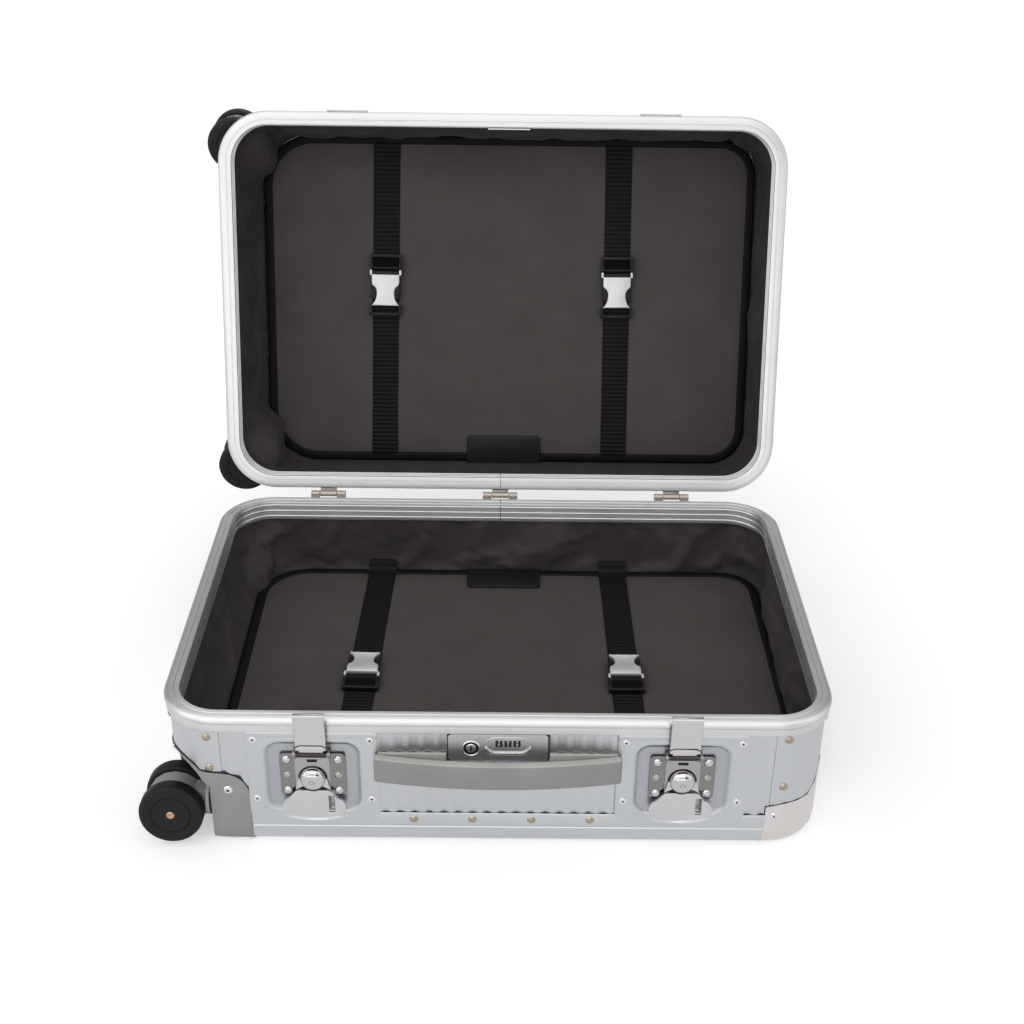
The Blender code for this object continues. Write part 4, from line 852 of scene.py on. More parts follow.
def lay_grain(made, place):
    """Stores which way the rim runs at each point, for the drawn gloss."""
    to_half = place.inverted()
    turn_only = place.to_3x3()
    run = made.data.attributes.new("grain_run", "FLOAT_VECTOR", "POINT")
    for v in made.data.vertices:
        spot = to_half @ v.co
        from_x = spot.x - max(-straight_x, min(straight_x, spot.x))
        from_y = spot.y - max(-straight_y, min(straight_y, spot.y))
        run.data[v.index].vector = (turn_only @ Vector((from_y, -from_x, 0.0))).normalized()


for half, place, height in halves:
    bm = bmesh.new()
    swept_rim(bm, height)
    channel = piece(bm, half + "_rim_channel", half, rim_satin, place=place, crease=50.0,
                    replaces=half + "_rim")
    lay_grain(channel, place)
    bm = bmesh.new()
    bar(bm, (0.0005, 0.0085, 0.0004), (0.0004, 0.1628, height - 0.0001), 0.0001)
    bar(bm, (0.0005, 0.0004, 0.0150), (0.0004, 0.1565, height - 0.0090), 0.0001)
    piece(bm, half + "_rim_seam", half, seam_dark, place=place)

# Corner pieces: grey moulded wheel housings at the left corners and pressed steel caps at the right.
# Pan-head screws with a hexagon socket hold them to the tray, and a thin dark line at their edges is painted
# shadow of the gap round them.
housing_grey = moulded("housing_grey", (0.34, 0.352, 0.347), 0.42)
well_black_and_shade = moulded("wheel_well_black_and_shade", (0.016, 0.016, 0.017), 0.6)
cap_steel = satin_metal("corner_cap_steel", (0.74, 0.71, 0.70), 0.17, grain=(200.0,) * 3)
screw_steel = satin_metal("screw_steel", (0.78, 0.78, 0.78), 0.2, grain=(400.0,) * 3)
# Near-black painted shade, laid where holes and gaps hold only shadow: screw sockets, slots, and thin lines
# round covers, the lock plate and the hook's toe.
hole_and_gap_shade = moulded("painted_hole_and_gap_shade", (0.02, 0.02, 0.02), 0.6)
well_radius = 0.0374
well_roof_x = -0.2160
hood_bend_from = 0.0725
gap_shadow_reach = 0.0008
gap_shadow_sink = 0.0001
bend_screw_at = math.radians(22.0)
bend_screw_out = 0.0425


def round_corner(point):
    """Angle of a point round the upright corner, from 0 on the long wall to 90 on the end wall."""
    over_x = max(0.0, abs(point.x) - wall_x + corner_bend)
    over_y = max(0.0, abs(point.y) - wall_y + corner_bend)
    return math.degrees(math.atan2(over_x, over_y))


def cap_trim(point):
    """The cap's top edge is stretched to run level round the bend, then to climb the end wall."""
    low = 0.014
    x = abs(point.x)
    old_top = 0.036 + 0.0124 * min(1.0, max(0.0, (x - 0.204) / 0.022))
    old_top += 0.0186 * min(1.0, max(0.0, (x - 0.226) / 0.0225))
    climb = eased_step((round_corner(point) - 48.0) / 40.0)
    top = 0.0375 + 0.0025 * min(1.0, (x - 0.204) / 0.01) + 0.027 * climb
    if point.z > low:
        point = Vector((point.x, point.y, low + (point.z - low) * (top - low) / (old_top - low)))
    return tightened(point)


def hood_trim(point):
    """The housing's top edge is drawn down where it climbs the end wall above its well."""
    point = tightened(point)
    if point.z > hood_bend_from:
        point = Vector((point.x, point.y, hood_bend_from + 0.55 * (point.z - hood_bend_from)))
    return point


def screw(heads, sockets, centre, axis, radius=0.0029, rise=0.0011):
    """A low pan head; a dark disc in its middle is painted shade for its hexagon socket."""
    turned(heads, ((0.30 * radius, rise), (0.62 * radius, rise), (0.88 * radius, 0.7 * rise),
                   (radius, 0.25 * rise), (radius, -0.0010)), centre, axis, steps=16)
    turned(sockets, ((0.0, 0.55 * rise), (0.36 * radius, 0.55 * rise)), centre, axis, steps=6)


for half, place, height in halves:
    heads = bmesh.new()
    sockets = bmesh.new()
    to_half = place.inverted()
    for side, sy in (("front", -1), ("back", 1)):
        hood = eased(half + "_wheel_housing_" + side, half, housing_grey, ease=0.0008,
                     place=place, trim=hood_trim)
        # The faces inside each wheel well are near black: partly the black plastic of the well, partly
        # painted shade of the hollow.
        hood.data.materials.append(well_black_and_shade)
        for f in hood.data.polygons:
            spot = to_half @ f.center
            facing = to_half.to_3x3() @ f.normal
            inward = facing.y * (spot.y - sy * well_y) + facing.z * (spot.z - well_z) < -0.004
            roof = facing.x < -0.8 and spot.x > well_roof_x
            if (inward or roof) and math.hypot(abs(spot.y) - well_y, spot.z - well_z) < well_radius:
                f.material_index = 1
        cap = eased(half + "_corner_cap_" + side, half, cap_steel, place=place, trim=cap_trim)
        # A dark copy of each cover, grown past its open edges and sunk just behind it, paints the shadow of
        # the gap round it.
        for cover, edge_x, grow_x in ((cap, 0.2060, -gap_shadow_reach), (hood, -0.1890, gap_shadow_reach)):
            gap_shadow = bmesh.new()
            gap_shadow.from_mesh(cover.data)
            for v in gap_shadow.verts:
                spot = to_half @ v.co
                spot.x += grow_x if (spot.x - edge_x) * grow_x > 0.0 else 0.0
                spot.z += gap_shadow_reach if spot.z > 0.0240 else 0.0
                spot.y -= sy * gap_shadow_sink
                spot.x -= math.copysign(gap_shadow_sink, spot.x) if round_corner(spot) > 20.0 else 0.0
                v.co = place @ spot
            piece(gap_shadow, cover.name.replace("dressed", "gap_shadow"), half, hole_and_gap_shade)
        out_x = math.cos(bend_screw_at)
        out_y = sy * math.sin(bend_screw_at)
        around = (-0.2075 - bend_screw_out * out_x, sy * 0.1245 + bend_screw_out * out_y, 0.0713)
        screw(heads, sockets, (-0.2030, sy * 0.1670, 0.0505), (0, sy, 0), 0.0036, 0.0013)
        screw(heads, sockets, (0.2110, sy * 0.1665, 0.0290), (0, sy, 0), 0.0030, 0.0011)
        screw(heads, sockets, around, (-out_x, out_y, 0), 0.0018)
        screw(heads, sockets, (0.2495, sy * 0.1235, 0.0500), (1, 0, 0), 0.0024, 0.0009)
        screw(heads, sockets, (-0.2500, sy * 0.1000, 0.0600), (-1, 0, 0), 0.0026)
    piece(heads, half + "_corner_screws", half, screw_steel, place=place)
    piece(sockets, half + "_corner_sockets", half, hole_and_gap_shade, place=place, closed=False)

# Casters: twin black wheels on a steel axle either side of a grey fork that swivels in its housing.
# The axle ends are copper coloured, and a ring is turned in each wheel's outer face.
wheel_black = moulded("wheel_black_tyre", (0.014, 0.013, 0.014), 0.50)
axle_copper = satin_metal("axle_copper_end", (0.62, 0.36, 0.20), 0.30, grain=(500.0,) * 3)
joint_of = {j["name"]: j for j in frame["joints"]}
wheel_section = (
    (0.0030, 0.0200), (0.0060, 0.0202), (0.0144, 0.0203), (0.0148, 0.0197), (0.0154, 0.0197),
    (0.0158, 0.0203), (0.0205, 0.0208), (0.0225, 0.0206), (0.0239, 0.0197), (0.0245, 0.0180),
    (0.0245, 0.0143), (0.0245, 0.0108), (0.0240, 0.0090), (0.0228, 0.0080), (0.0150, 0.0079),
    (0.0145, 0.0084), (0.0030, 0.0084), (0.0030, 0.0200),
)
axle_section = ((0.0, 0.0206), (0.0010, 0.0206), (0.0013, 0.0209), (0.0026, 0.0209), (0.0031, 0.0205),
                (0.0031, 0.0030))
for half, place, height in halves:
    for side in ("front", "back"):
        caster = half + "_" + side
        eased(caster + "_fork", caster + "_caster", housing_grey, ease=0.0005)
        roll_joint = joint_of[caster + "_roll"]
        hub = Vector(roll_joint["pos_m"])
        axle = Vector(roll_joint["axis"]).normalized()
        tyres = bmesh.new()
        ends = bmesh.new()
        for way in (-1.0, 1.0):
            turned(tyres, wheel_section, hub, axle * way, steps=56, welded=True)
            turned(ends, axle_section, hub, axle * way, steps=20)
        piece(tyres, caster + "_tyres", caster + "_pair", wheel_black, crease=30.0,
              replaces=caster + "_wheels")
        piece(ends, caster + "_axle_ends", caster + "_pair", axle_copper)

# Latch plates: pressed aluminium with a soft-edged pocket and a finger dish below it, screwed to the wall.
# Each front plate has a plain, flat twin on the lid's front wall.
latch_at = {"left": -0.138, "right": 0.138}
plate_front = 0.1682
plate_under = 0.1660
plate_half_x = 0.0490
plate_half_z = 0.0441
plate_low = 0.0180
front_face = Matrix.Rotation(math.pi / 2, 4, "X")


def oblong_edge(x, z, half_x, half_z, corner):
    """Distance of a point from the edge of a rounded oblong, negative inside it."""
    over_x = abs(x) - half_x + corner
    over_z = abs(z) - half_z + corner
    return math.hypot(max(over_x, 0.0), max(over_z, 0.0)) + min(max(over_x, over_z), 0.0) - corner


def in_pocket(x, z):
    """How far into the pocket a point of the plate lies: its distance from the pocket's edge, and a share."""
    from_pocket = oblong_edge(x, z - 0.0648, 0.0345, 0.0310, 0.0105)
    return from_pocket, eased_step(0.5 - from_pocket / 0.0036)


def pressed(x, z):
    """How far the pressed sheet stands out from its flat face at a point of the plate."""
    from_pocket, sunk = in_pocket(x, z)
    pocket = -0.0019 * sunk
    lip = 0.00045 * math.exp(-((from_pocket - 0.0034) / 0.0013) ** 2)
    from_dish = math.hypot(x / 0.0230, (z - 0.0290) / 0.0056)
    dish = -0.0016 * eased_step((1.0 - from_dish) / 0.45)
    dish_lip = 0.0007 * math.exp(-((from_dish - 1.12) / 0.14) ** 2) * eased_step((0.0300 - z) / 0.004)
    upper_step = 0.0006 * eased_step((z - 0.1010) / 0.0022)
    return min(pocket, dish) + max(lip, dish_lip) + upper_step


def box(left, low, right, high):
    """The four corners of an upright oblong."""
    return [(left, low), (right, low), (right, high), (left, high)]


plate_satin = satin_metal("latch_plate_satin", (0.610, 0.625, 0.648), 0.33)
tree = plate_satin.node_tree
shader = tree.nodes["Principled BSDF"]
plain = shader.inputs["Base Color"].links[0].from_socket
# The pocket's floor and the band along its edge are painted darker: painted shade in the recess.
pocket_shade = node(tree, "Attribute", {}, "Fac", attribute_name="pocket_shade")
painted_pocket_shade = node(tree, "Mix", {0: pocket_shade, 6: plain, 7: (0.66, 0.67, 0.69, 1.0)}, 2,
              data_type="RGBA", blend_type="MULTIPLY")
fill(tree, shader, {"Base Color": painted_pocket_shade})
for side, at in latch_at.items():
    bm = grid(98, 88)
    for v in bm.verts:
        corner = 0.0130 if v.co.y < 0.0 else 0.0020
        x, z, from_edge = in_round(v.co.x * plate_half_x, v.co.y * plate_half_z, plate_half_x, plate_half_z,
                                   corner)
        z += plate_low + plate_half_z
        rolled = 0.0005 * max(0.0, 1.0 - from_edge / 0.0014) ** 2
        v.co = Vector((at + x, z, plate_front + pressed(x, z) - rolled))
    closed_under(bm, plate_under)
    plate = piece(bm, "latch_plate_pressed_" + side, "base", plate_satin, place=front_face,
                  crease=50.0, replaces="latch_plate_" + side)
    # Share of painted shade at each point: most on the pocket floor, with a band along its edge.
    pocket_shade_values = plate.data.attributes.new("pocket_shade", "FLOAT", "POINT")
    for v in plate.data.vertices:
        from_pocket, sunk = in_pocket(v.co.x - at, v.co.z)
        pocket_shade_values.data[v.index].value = 0.75 * sunk + 0.45 * math.exp(-(from_pocket / 0.0016) ** 2)
    heads = bmesh.new()
    sockets = bmesh.new()
    twin = bmesh.new()
    plate_from(twin, box(at - 0.047, 0.026, at + 0.047, 0.0960), plate_under, 0.0018, 0.0006)
    for sx in (-1, 1):
        for up in (0.0437, 0.0990):
            screw(heads, sockets, (at + sx * 0.0432, -plate_front, up), (0, -1, 0), 0.0030, 0.0007)
        for up in (0.034, 0.088):
            rivet(twin, (at + sx * 0.0412, up, 0.1678), (0, 0, 1), 0.0030, 0.0012)
    piece(heads, "latch_plate_screws_" + side, "base", screw_steel)
    piece(sockets, "latch_plate_sockets_" + side, "base", hole_and_gap_shade, closed=False)
    piece(twin, "lid_latch_plate_" + side, "lid", sheet_satin,
          place=lid_place @ front_face)

# Latch works: a polished base riveted in the pocket, a domed knob that turns, a folding wing and a hook.
# The hook hangs on a pin at the top of the base; the wing folds on a pin under the knob.
polished = (300.0,) * 3
latch_steel = satin_metal("latch_polished_steel", (0.66, 0.645, 0.64), 0.11, polished)
wing_steel = satin_metal("wing_satin_steel", (0.66, 0.65, 0.655), 0.22, polished)
column_steel = satin_metal("latch_column_steel", (0.44, 0.425, 0.42), 0.10, polished)
panel_steel = satin_metal("latch_panel_dark_steel", (0.27, 0.262, 0.262), 0.08, (95.0, 95.0, 60.0), 0.0045)
# Near black: the hook's barrel is steel darkened to paint the shade of the gap round it, and the same dark
# paints the shadow ring behind each knob.
barrel_and_ring_shade = satin_metal("barrel_dark_steel", (0.060, 0.052, 0.050), 0.16, polished)
knob_steel = satin_metal("knob_bright_steel", (0.60, 0.585, 0.585), 0.07, polished)


def fresh(make, *shape):
    """A new bmesh with one shape in it."""
    bm = bmesh.new()
    make(bm, *shape)
    return bm


def cut_plate(bm, loops, low, thick, ease):
    """A flat plate cut to an outer loop of points, with any further loops as holes; its face edges eased."""
    wires = []
    for loop in loops:
        ring = [bm.verts.new((x, y, low)) for x, y in loop]
        wires += [bm.edges.new((ring[i - 1], ring[i])) for i in range(len(ring))]
    cut = bmesh.ops.triangle_fill(bm, edges=wires, use_beauty=True, use_dissolve=False)["geom"]
    grown = bmesh.ops.extrude_face_region(bm, geom=only(cut, BMFace))["geom"]
    bmesh.ops.translate(bm, vec=(0.0, 0.0, thick), verts=only(grown, BMVert))
    top = only(grown, BMFace)
    lips = [e for f in top for e in f.edges if sum(1 for k in e.link_faces if k in top) == 1]
    round_edges(bm, list(set(lips)), ease)


def arc(centre, radius, start, end, steps):
    """Points along an arc, angles in degrees."""
    angles = [math.radians(start + (end - start) * i / steps) for i in range(steps + 1)]
    return [(centre[0] + radius * math.cos(a), centre[1] + radius * math.sin(a)) for a in angles]


def beside(at, points):
    """Moves points sideways to a latch."""
    return [(at + x, z) for x, z in points]


def mirrored(half):
    """A whole outline from its right half."""
    return list(half) + [(-x, z) for x, z in reversed(half)]


knob_up = 0.066
outward = (0, -1, 0)
half_wing = (arc((0.0, knob_up), 0.0110, -90.0, -69.0, 5)
             + [(0.0108, 0.0557), (0.0128, 0.0550), (0.0150, 0.0522)]
             + arc((0.0147, 0.0398), 0.0092, 62.0, -96.0, 14) + [(0.0092, 0.0316), (0.0045, 0.0327)])
wing_edge = half_wing + [(0.0, 0.0330)] + [(-x, z) for x, z in reversed(half_wing[1:])]
wing_slot = box(0.0113, 0.0345, 0.0158, 0.0505)
half_shoulder = arc((0.0, knob_up), 0.0094, 2.0, -43.0, 5) + [(0.0132, 0.0563), (0.0118, 0.0618),
                                                              (0.0108, 0.0664)]
hook_toe = mirrored(((0.0114, 0.0936), (0.0114, 0.0958), (0.0080, 0.0976)))
toe_shadow_line = mirrored(((0.0080, 0.0980), (0.0113, 0.0962), (0.0113, 0.0970), (0.0082, 0.0988)))
knob_shadow_section = ((0.0, 0.0009), (0.0106, 0.0009), (0.0110, 0.0006), (0.0110, -0.0004), (0.0, -0.0004))
knob_section = (
    (0.0, 0.0069), (0.0013, 0.0069), (0.0016, 0.0063), (0.0020, 0.0069), (0.0038, 0.0067),
    (0.0055, 0.0062), (0.0071, 0.0054), (0.0085, 0.0042), (0.0093, 0.0028), (0.0096, 0.0014),
    (0.0096, 0.0006), (0.0090, 0.0), (0.0062, 0.0), (0.0062, -0.0006), (0.0, -0.0006),
)
barrel_section = ((0.0, -0.0113), (0.0020, -0.0113), (0.0023, -0.0110), (0.0023, 0.0110), (0.0020, 0.0113),
                  (0.0, 0.0113))
for side, at in latch_at.items():
    eased("latch_base_" + side, "base", panel_steel, ease=0.0005)
    piece(fresh(bar, (0.0262, 0.0012, 0.0380), (at, -0.1693, 0.0668), 0.0005), "latch_column_" + side,
          "base", column_steel)
    # A dark bar on the column paints the shade inside its slot.
    piece(fresh(bar, (0.0076, 0.0004, 0.0026), (at, -0.1699, 0.0812), 0.0001), "latch_slot_" + side,
          "base", hole_and_gap_shade)
    heads = bmesh.new()
    swells = bmesh.new()
    for x in (at - 0.0190, at + 0.0190):
        for up in (0.0525, 0.0815):
            rivet(heads, (x, -0.1687, up), outward, 0.0037, 0.0024)
        rivet(swells, (x, -0.1688, 0.0668), outward, 0.0030, 0.0013)
    piece(heads, "latch_rivets_" + side, "base", knob_steel)
    piece(swells, "latch_swells_" + side, "base", column_steel)
    # A dark ring behind the knob paints the shadow round its foot.
    knob_shadow_ring = fresh(turned, knob_shadow_section, (at, -0.1697, knob_up - 0.0006), outward, 40, True)
    piece(knob_shadow_ring, "latch_knob_shadow_" + side, "base", barrel_and_ring_shade)
    dome = fresh(turned, knob_section, (at, -0.1706, knob_up), outward, 40, True)
    piece(dome, "latch_dome_" + side, "knob_" + side, knob_steel, crease=30.0,
          replaces="latch_knob_" + side)
    shoulders = bmesh.new()
    for sx in (-1, 1):
        plate_from(shoulders, [(at + sx * x, z) for x, z in half_shoulder], 0.1712, 0.0020, 0.0004)
    piece(shoulders, "latch_shoulders_" + side, "knob_" + side, wing_steel, place=front_face)
    fan = fresh(cut_plate, (beside(at, wing_edge), beside(at, wing_slot)), 0.1716, 0.0018, 0.0005)
    bar(fan, (0.0140, 0.0026, 0.0022), (at, 0.0535, 0.1719), 0.0008)
    piece(fan, "latch_fan_" + side, "wing_" + side, wing_steel, place=front_face,
          replaces="latch_wing_" + side)
    hook_pin = Vector((at, -0.1712, 0.088))
    leaned = (Matrix.Translation(hook_pin) @ Matrix.Rotation(math.radians(5.0), 4, "X")
              @ Matrix.Translation(-hook_pin) @ front_face)
    blade = fresh(plate_from, box(at - 0.0115, 0.0940, at + 0.0115, 0.1270), 0.1713, 0.0017, 0.0005)
    bar(blade, (0.0230, 0.0024, 0.0036), (at, 0.1258, 0.1708), 0.0005)
    bar(blade, (0.0180, 0.0090, 0.0012), (at, 0.0915, 0.1712), 0.0003)
    plate_from(blade, beside(at, hook_toe), 0.1724, 0.0013, 0.0009)
    piece(blade, "latch_blade_" + side, "hook_" + side, wing_steel, place=leaned,
          replaces="latch_hook_" + side)
    # A thin dark strip above the hook's toe paints the shadow line at its bend.
    piece(fresh(plate_from, beside(at, toe_shadow_line), 0.1726, 0.0005, 0.0), "latch_toe_shadow_" + side,
          "hook_" + side, hole_and_gap_shade, place=leaned)
    piece(fresh(turned, barrel_section, hook_pin, (1, 0, 0), 24), "latch_hook_barrel_" + side,
          "hook_" + side, barrel_and_ring_shade)
    eased("lid_strike_" + side, "lid", latch_steel, ease=0.0003)

# Lock: a grey steel plate let into the front wall, with a key cylinder and three numbered dials.
# The dials turn in an oval recess with a raised lip; a catch for it is screwed to the lid's rim.
lock_grey = satin_metal("lock_plate_grey_steel", (0.56, 0.57, 0.58), 0.36, (900.0, 60.0, 60.0))
recess_grey = satin_metal("lock_recess_beaded", (0.25, 0.255, 0.26), 0.32, (2200.0,) * 3, 0.0002)
dial_black = moulded("dial_black", (0.020, 0.020, 0.022), 0.35)
number_white = moulded("dial_number_white", (0.80, 0.80, 0.78), 0.5)
key_black = moulded("key_ring_black", (0.015, 0.015, 0.016), 0.25)
lock_front = 0.1682
dial_up = 0.097
dial_radius = 0.0042
dial_section = ((0.0, -0.0023), (0.0036, -0.0023), (0.0042, -0.0020), (0.0042, 0.0020), (0.0036, 0.0023),
                (0.0, 0.0023))
key_at = Vector((-0.020, -plate_front, 0.093))
key_section = ((0.0, 0.0005), (0.0036, 0.0005), (0.0039, 0.0002), (0.0041, -0.0040), (0.0, -0.0040))
ring_section = ((0.0041, -0.0003), (0.0041, 0.0003), (0.0045, 0.0006), (0.0055, 0.0006), (0.0059, 0.0003),
                (0.0059, -0.0003))
key_rim_section = ((0.0059, -0.0003), (0.0059, 0.0005), (0.0062, 0.0008), (0.0066, 0.0007), (0.0069, 0.0003),
                   (0.0069, -0.0003))


def clear_of_ribs(point):
    """Sets the catch in a little, so that it passes the rim's ribs when the lid shuts."""
    return point + Vector((0.0, 0.0006, 0.0))


eased("lock_housing", "base", lock_grey)
eased("lock_catch", "lid", latch_steel, ease=0.0003, place=lid_place, trim=clear_of_ribs)
# A dark plate just behind the lock plate shows round its edge as painted shadow of the gap.
lock_edge_shade = fresh(plate_from, box(-0.0377, 0.0809, 0.0377, 0.1059), 0.1662, 0.0012, 0.0)
piece(lock_edge_shade, "lock_edge_shadow", "base", hole_and_gap_shade, place=front_face)
oval = arc((0.0168, 0.0952), 0.0080, -90.0, 90.0, 14) + arc((-0.0022, 0.0952), 0.0080, 90.0, 270.0, 14)
bm = bmesh.new()
face = bm.faces.new([bm.verts.new((x, up, lock_front - 0.0001)) for x, up in oval])
for inset, rise in ((0.0002, 0.0005), (0.0004, 0.0004), (0.0004, 0.0), (0.0005, -0.0005), (0.0003, -0.0003)):
    bmesh.ops.inset_region(bm, faces=[face], thickness=inset, depth=rise, use_even_offset=True,
                           use_boundary=True)
face.material_index = 1
recess = piece(bm, "lock_recess", "base", lock_grey, place=front_face, closed=False)
recess.data.materials.append(recess_grey)
low_edge = arc((-0.0022, 0.0952), 0.0077, 188.0, 270.0, 8) + arc((0.0168, 0.0952), 0.0077, -90.0, -8.0, 8)
high_edge = arc((0.0160, 0.0968), 0.0070, -14.0, -90.0, 8) + arc((-0.0014, 0.0968), 0.0070, 270.0, 194.0, 8)
piece(fresh(plate_from, low_edge + high_edge, lock_front, 0.0014, 0.0006), "lock_recess_lip", "base",
      screw_steel, place=front_face)
for count, at in enumerate((0.0006, 0.0073, 0.0140)):
    number = str(count + 1)
    centre = Vector((at, -plate_front - 0.0009 + dial_radius, dial_up))
    piece(fresh(turned, dial_section, centre, (1, 0, 0), 40, True), "lock_drum_" + number, "dial_" + number,
          dial_black, replaces="lock_dial_" + number)
    numbers = bmesh.new()
    for digit in range(10):
        text = bpy.data.curves.new("digit", "FONT")
        text.body = str(digit)
        text.size = 0.0034
        text.align_x = "CENTER"
        text.align_y = "CENTER"
        text.resolution_u = 2
        drawn = bpy.data.objects.new("digit", text)
        shape = bpy.data.meshes.new_from_object(drawn)
        before = set(numbers.verts)
        numbers.from_mesh(shape)
        turn_to = math.radians(36.0 * (digit + count * 3))
        spot = (Matrix.Translation(centre) @ Matrix.Rotation(turn_to, 4, "X")
                @ front_face @ Matrix.Translation((0.0, 0.0, 0.00427)))
        bmesh.ops.transform(numbers, matrix=spot, verts=[v for v in numbers.verts if v not in before])
        bpy.data.objects.remove(drawn)
        bpy.data.curves.remove(text)
        bpy.data.meshes.remove(shape)
    piece(numbers, "lock_numbers_" + number, "dial_" + number, number_white, closed=False)
piece(fresh(turned, key_section, key_at, outward, 32, True), "key_barrel", "key", screw_steel,
      replaces="key_cylinder")
# A dark bar paints the shade inside the key's slot.
piece(fresh(bar, (0.0013, 0.0004, 0.0046), key_at + Vector((0.0, -0.0005, 0.0)), 0.0001), "key_slot", "key",
      hole_and_gap_shade)
piece(fresh(turned, ring_section, key_at, outward, 36), "key_ring", "base", key_black,
      closed=False)
piece(fresh(turned, key_rim_section, key_at, outward, 36), "key_rim", "base", screw_steel,
      closed=False)

# Handles: bowed grey moulded covers on the front and the right end, on pins that slide in a rail inside.
# A thin pale strap lies behind the front one; the front one's upper face takes the same pale colour as a
# painted highlight of the light from above.
handle_grey = moulded("handle_grey_cover", (0.325, 0.333, 0.324), 0.5)
pale_strap_and_lit_top = moulded("handle_backing_strap", (0.52, 0.51, 0.48), 0.45)
rail_grey = moulded("rail_grey", (0.20, 0.20, 0.205), 0.5)
handle_bow = 0.0087
handle_wall = 0.0075
end_face = Matrix.Rotation(math.pi / 2, 4, "Z") @ front_face


def pull_handle(bm, half_length, tall):
    """A bowed bar with soft edges: length along x, height along y, standing out along z."""
    bmesh.ops.create_cube(bm, size=1.0)
    bmesh.ops.scale(bm, vec=(2.0 * half_length, tall, handle_wall), verts=bm.verts)
    bmesh.ops.translate(bm, vec=(0.0, 0.0, handle_wall / 2), verts=bm.verts)
    round_edges(bm, bm.edges[:], 0.0021, 4)
    long_edges = [e for e in bm.edges if e.calc_length() > half_length]
    bmesh.ops.subdivide_edges(bm, edges=long_edges, cuts=47, use_grid_fill=True)
    for v in bm.verts:
        v.co.z += handle_bow * (1.0 - (v.co.x / half_length) ** 2)


front_pull = piece(fresh(pull_handle, 0.092, 0.022), "side_handle_cover", "side_pull",
                   handle_grey, place=front_face @ Matrix.Translation((0.0, 0.077, 0.1685)),
                   replaces="side_handle")
front_pull.data.materials.append(pale_strap_and_lit_top)
# The upward faces of the front cover get the pale colour: a painted highlight.
for f in front_pull.data.polygons:
    f.material_index = 1 if f.normal.z > 0.75 else 0
piece(fresh(pull_handle, 0.075, 0.020), "top_handle_cover", "top_pull", handle_grey,
      place=end_face @ Matrix.Translation((0.0, 0.062, 0.2515)), replaces="top_handle")
bm = bmesh.new()
for sx in (-1, 1):
    plate_from(bm, box(sx * 0.0895, 0.0655, sx * 0.0385, 0.0874), 0.1666, 0.0017, 0.0005)
piece(bm, "side_handle_strap", "base", pale_strap_and_lit_top, place=front_face)
for which in ("side", "top"):
    eased(which + "_handle_rail", "base", rail_grey)

# Hinges: three short steel hinges at the back, their leaves riveted to the rims and pins along the parting.
# The middle knuckle of each turns with the lid.
hinge_steel = satin_metal("hinge_dark_steel", (0.40, 0.36, 0.32), 0.28, polished)
for where, at in (("left", -0.1595), ("middle", 0.0), ("right", 0.1595)):
    eased("hinge_" + where, "base", hinge_steel, ease=0.0003)
    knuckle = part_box("hinge_" + where)[1][1] - hinge_line.y
    section = ((0.0010, -0.0077), (knuckle - 0.0003, -0.0077), (knuckle, -0.0074), (knuckle, 0.0074),
               (knuckle - 0.0003, 0.0077), (0.0010, 0.0077))
    bm = fresh(turned, section, (at, hinge_line.y, hinge_line.z), (1, 0, 0), 20)
    bar(bm, (0.0150, 0.0040, 0.0013), (at, hinge_line.y - 0.0020, hinge_line.z + knuckle - 0.0004), 0.0004)
    bar(bm, (0.0150, 0.0012, 0.0090), (at, 0.1702, hinge_line.z + knuckle + 0.0030), 0.0004)
    piece(bm, "hinge_lid_knuckle_" + where, "lid", hinge_steel, place=lid_swing)

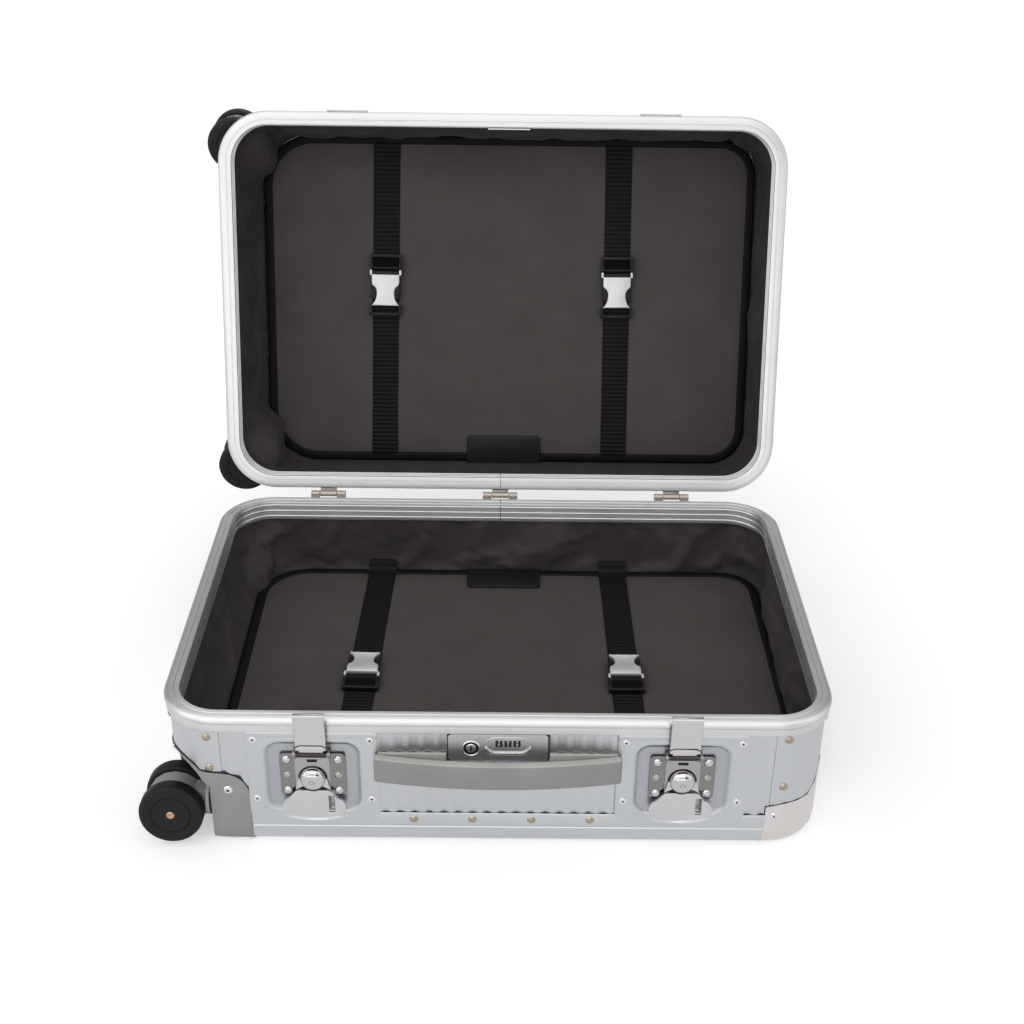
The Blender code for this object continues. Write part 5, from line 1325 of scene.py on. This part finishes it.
# Pull-out handle: two aluminium tubes under the base's board, held by a black foot and end plate.
# A black grip slides in them, with a grey button in its middle.
trolley_black = moulded("trolley_black", (0.016, 0.016, 0.017), 0.42)
button_grey = moulded("trolley_button_grey", (0.26, 0.26, 0.265), 0.4)
tube_satin = satin_metal("trolley_tube_satin", (0.66, 0.665, 0.67), 0.28, (60.0, 1400.0, 1400.0))
for side in ("front", "back"):
    eased("trolley_tube_" + side, "base", tube_satin, ease=0.0003)
eased("trolley_end_plate", "base", trolley_black, ease=0.0006)
eased("trolley_foot", "base", trolley_black, ease=0.0005)
eased("trolley_grip", "trolley", trolley_black, ease=0.0005)
eased("trolley_button", "button", button_grey, ease=0.0006)

# Sewn labels: plain black leather folded over the edge of each board near the hinges.
# A row of short stitches runs inside three of its edges.
label_shapes = {
    "base": (-0.030, 0.038, 0.1245, 0.1560, 0.0476),
    "lid": (-0.033, 0.039, 0.1345, 0.1620, 0.0229),
}
label_corner = 0.0042
stitch_pitch = 0.0034
stitch_start = 0.0055
stitch_inset = 0.0022


def leather(name, colour):
    """Grained leather: small cells in the bump, soft gloss."""
    made, tree, shader = material_tree(name)
    cells = node(tree, "TexVoronoi", {"Vector": node(tree, "TexCoord", {}, "Object"), "Scale": 900.0})
    fill(tree, shader, {"Specular IOR Level": 0.25, "Roughness": 0.46,
                        "Base Color": tinted(tree, cells, colour, 0.8, 1.15),
                        "Normal": bumped(tree, cells, 0.3, 0.0002)})
    return made


label_leather = leather("label_black_leather", (0.0125, 0.0115, 0.0125))
label_thread = moulded("label_thread", (0.05, 0.05, 0.05), 0.6)
for half, place, height in halves:
    left, right_end, near, far, label_up = label_shapes[half]
    points = arc((left + label_corner, near + label_corner), label_corner, 180.0, 270.0, 6)
    points += arc((right_end - label_corner, near + label_corner), label_corner, 270.0, 360.0, 6)
    points += [(right_end, far), (left, far)]
    piece(fresh(plate_from, points, label_up, 0.0016, 0.0006), half + "_label", half,
          label_leather, place=place)
    stitches = bmesh.new()
    thread_up = label_up + 0.0017
    for step in range(int((right_end - left - 0.009) / stitch_pitch)):
        x = left + stitch_start + stitch_pitch * step
        bar(stitches, (0.0021, 0.0005, 0.0004), (x, near + stitch_inset, thread_up), 0.0001)
    for step in range(int((far - near - 0.005) / stitch_pitch)):
        y = near + stitch_start + stitch_pitch * step
        for x in (left + stitch_inset, right_end - stitch_inset):
            bar(stitches, (0.0005, 0.0021, 0.0004), (x, y, thread_up), 0.0001)
    piece(stitches, half + "_label_stitches", half, label_thread, place=place)
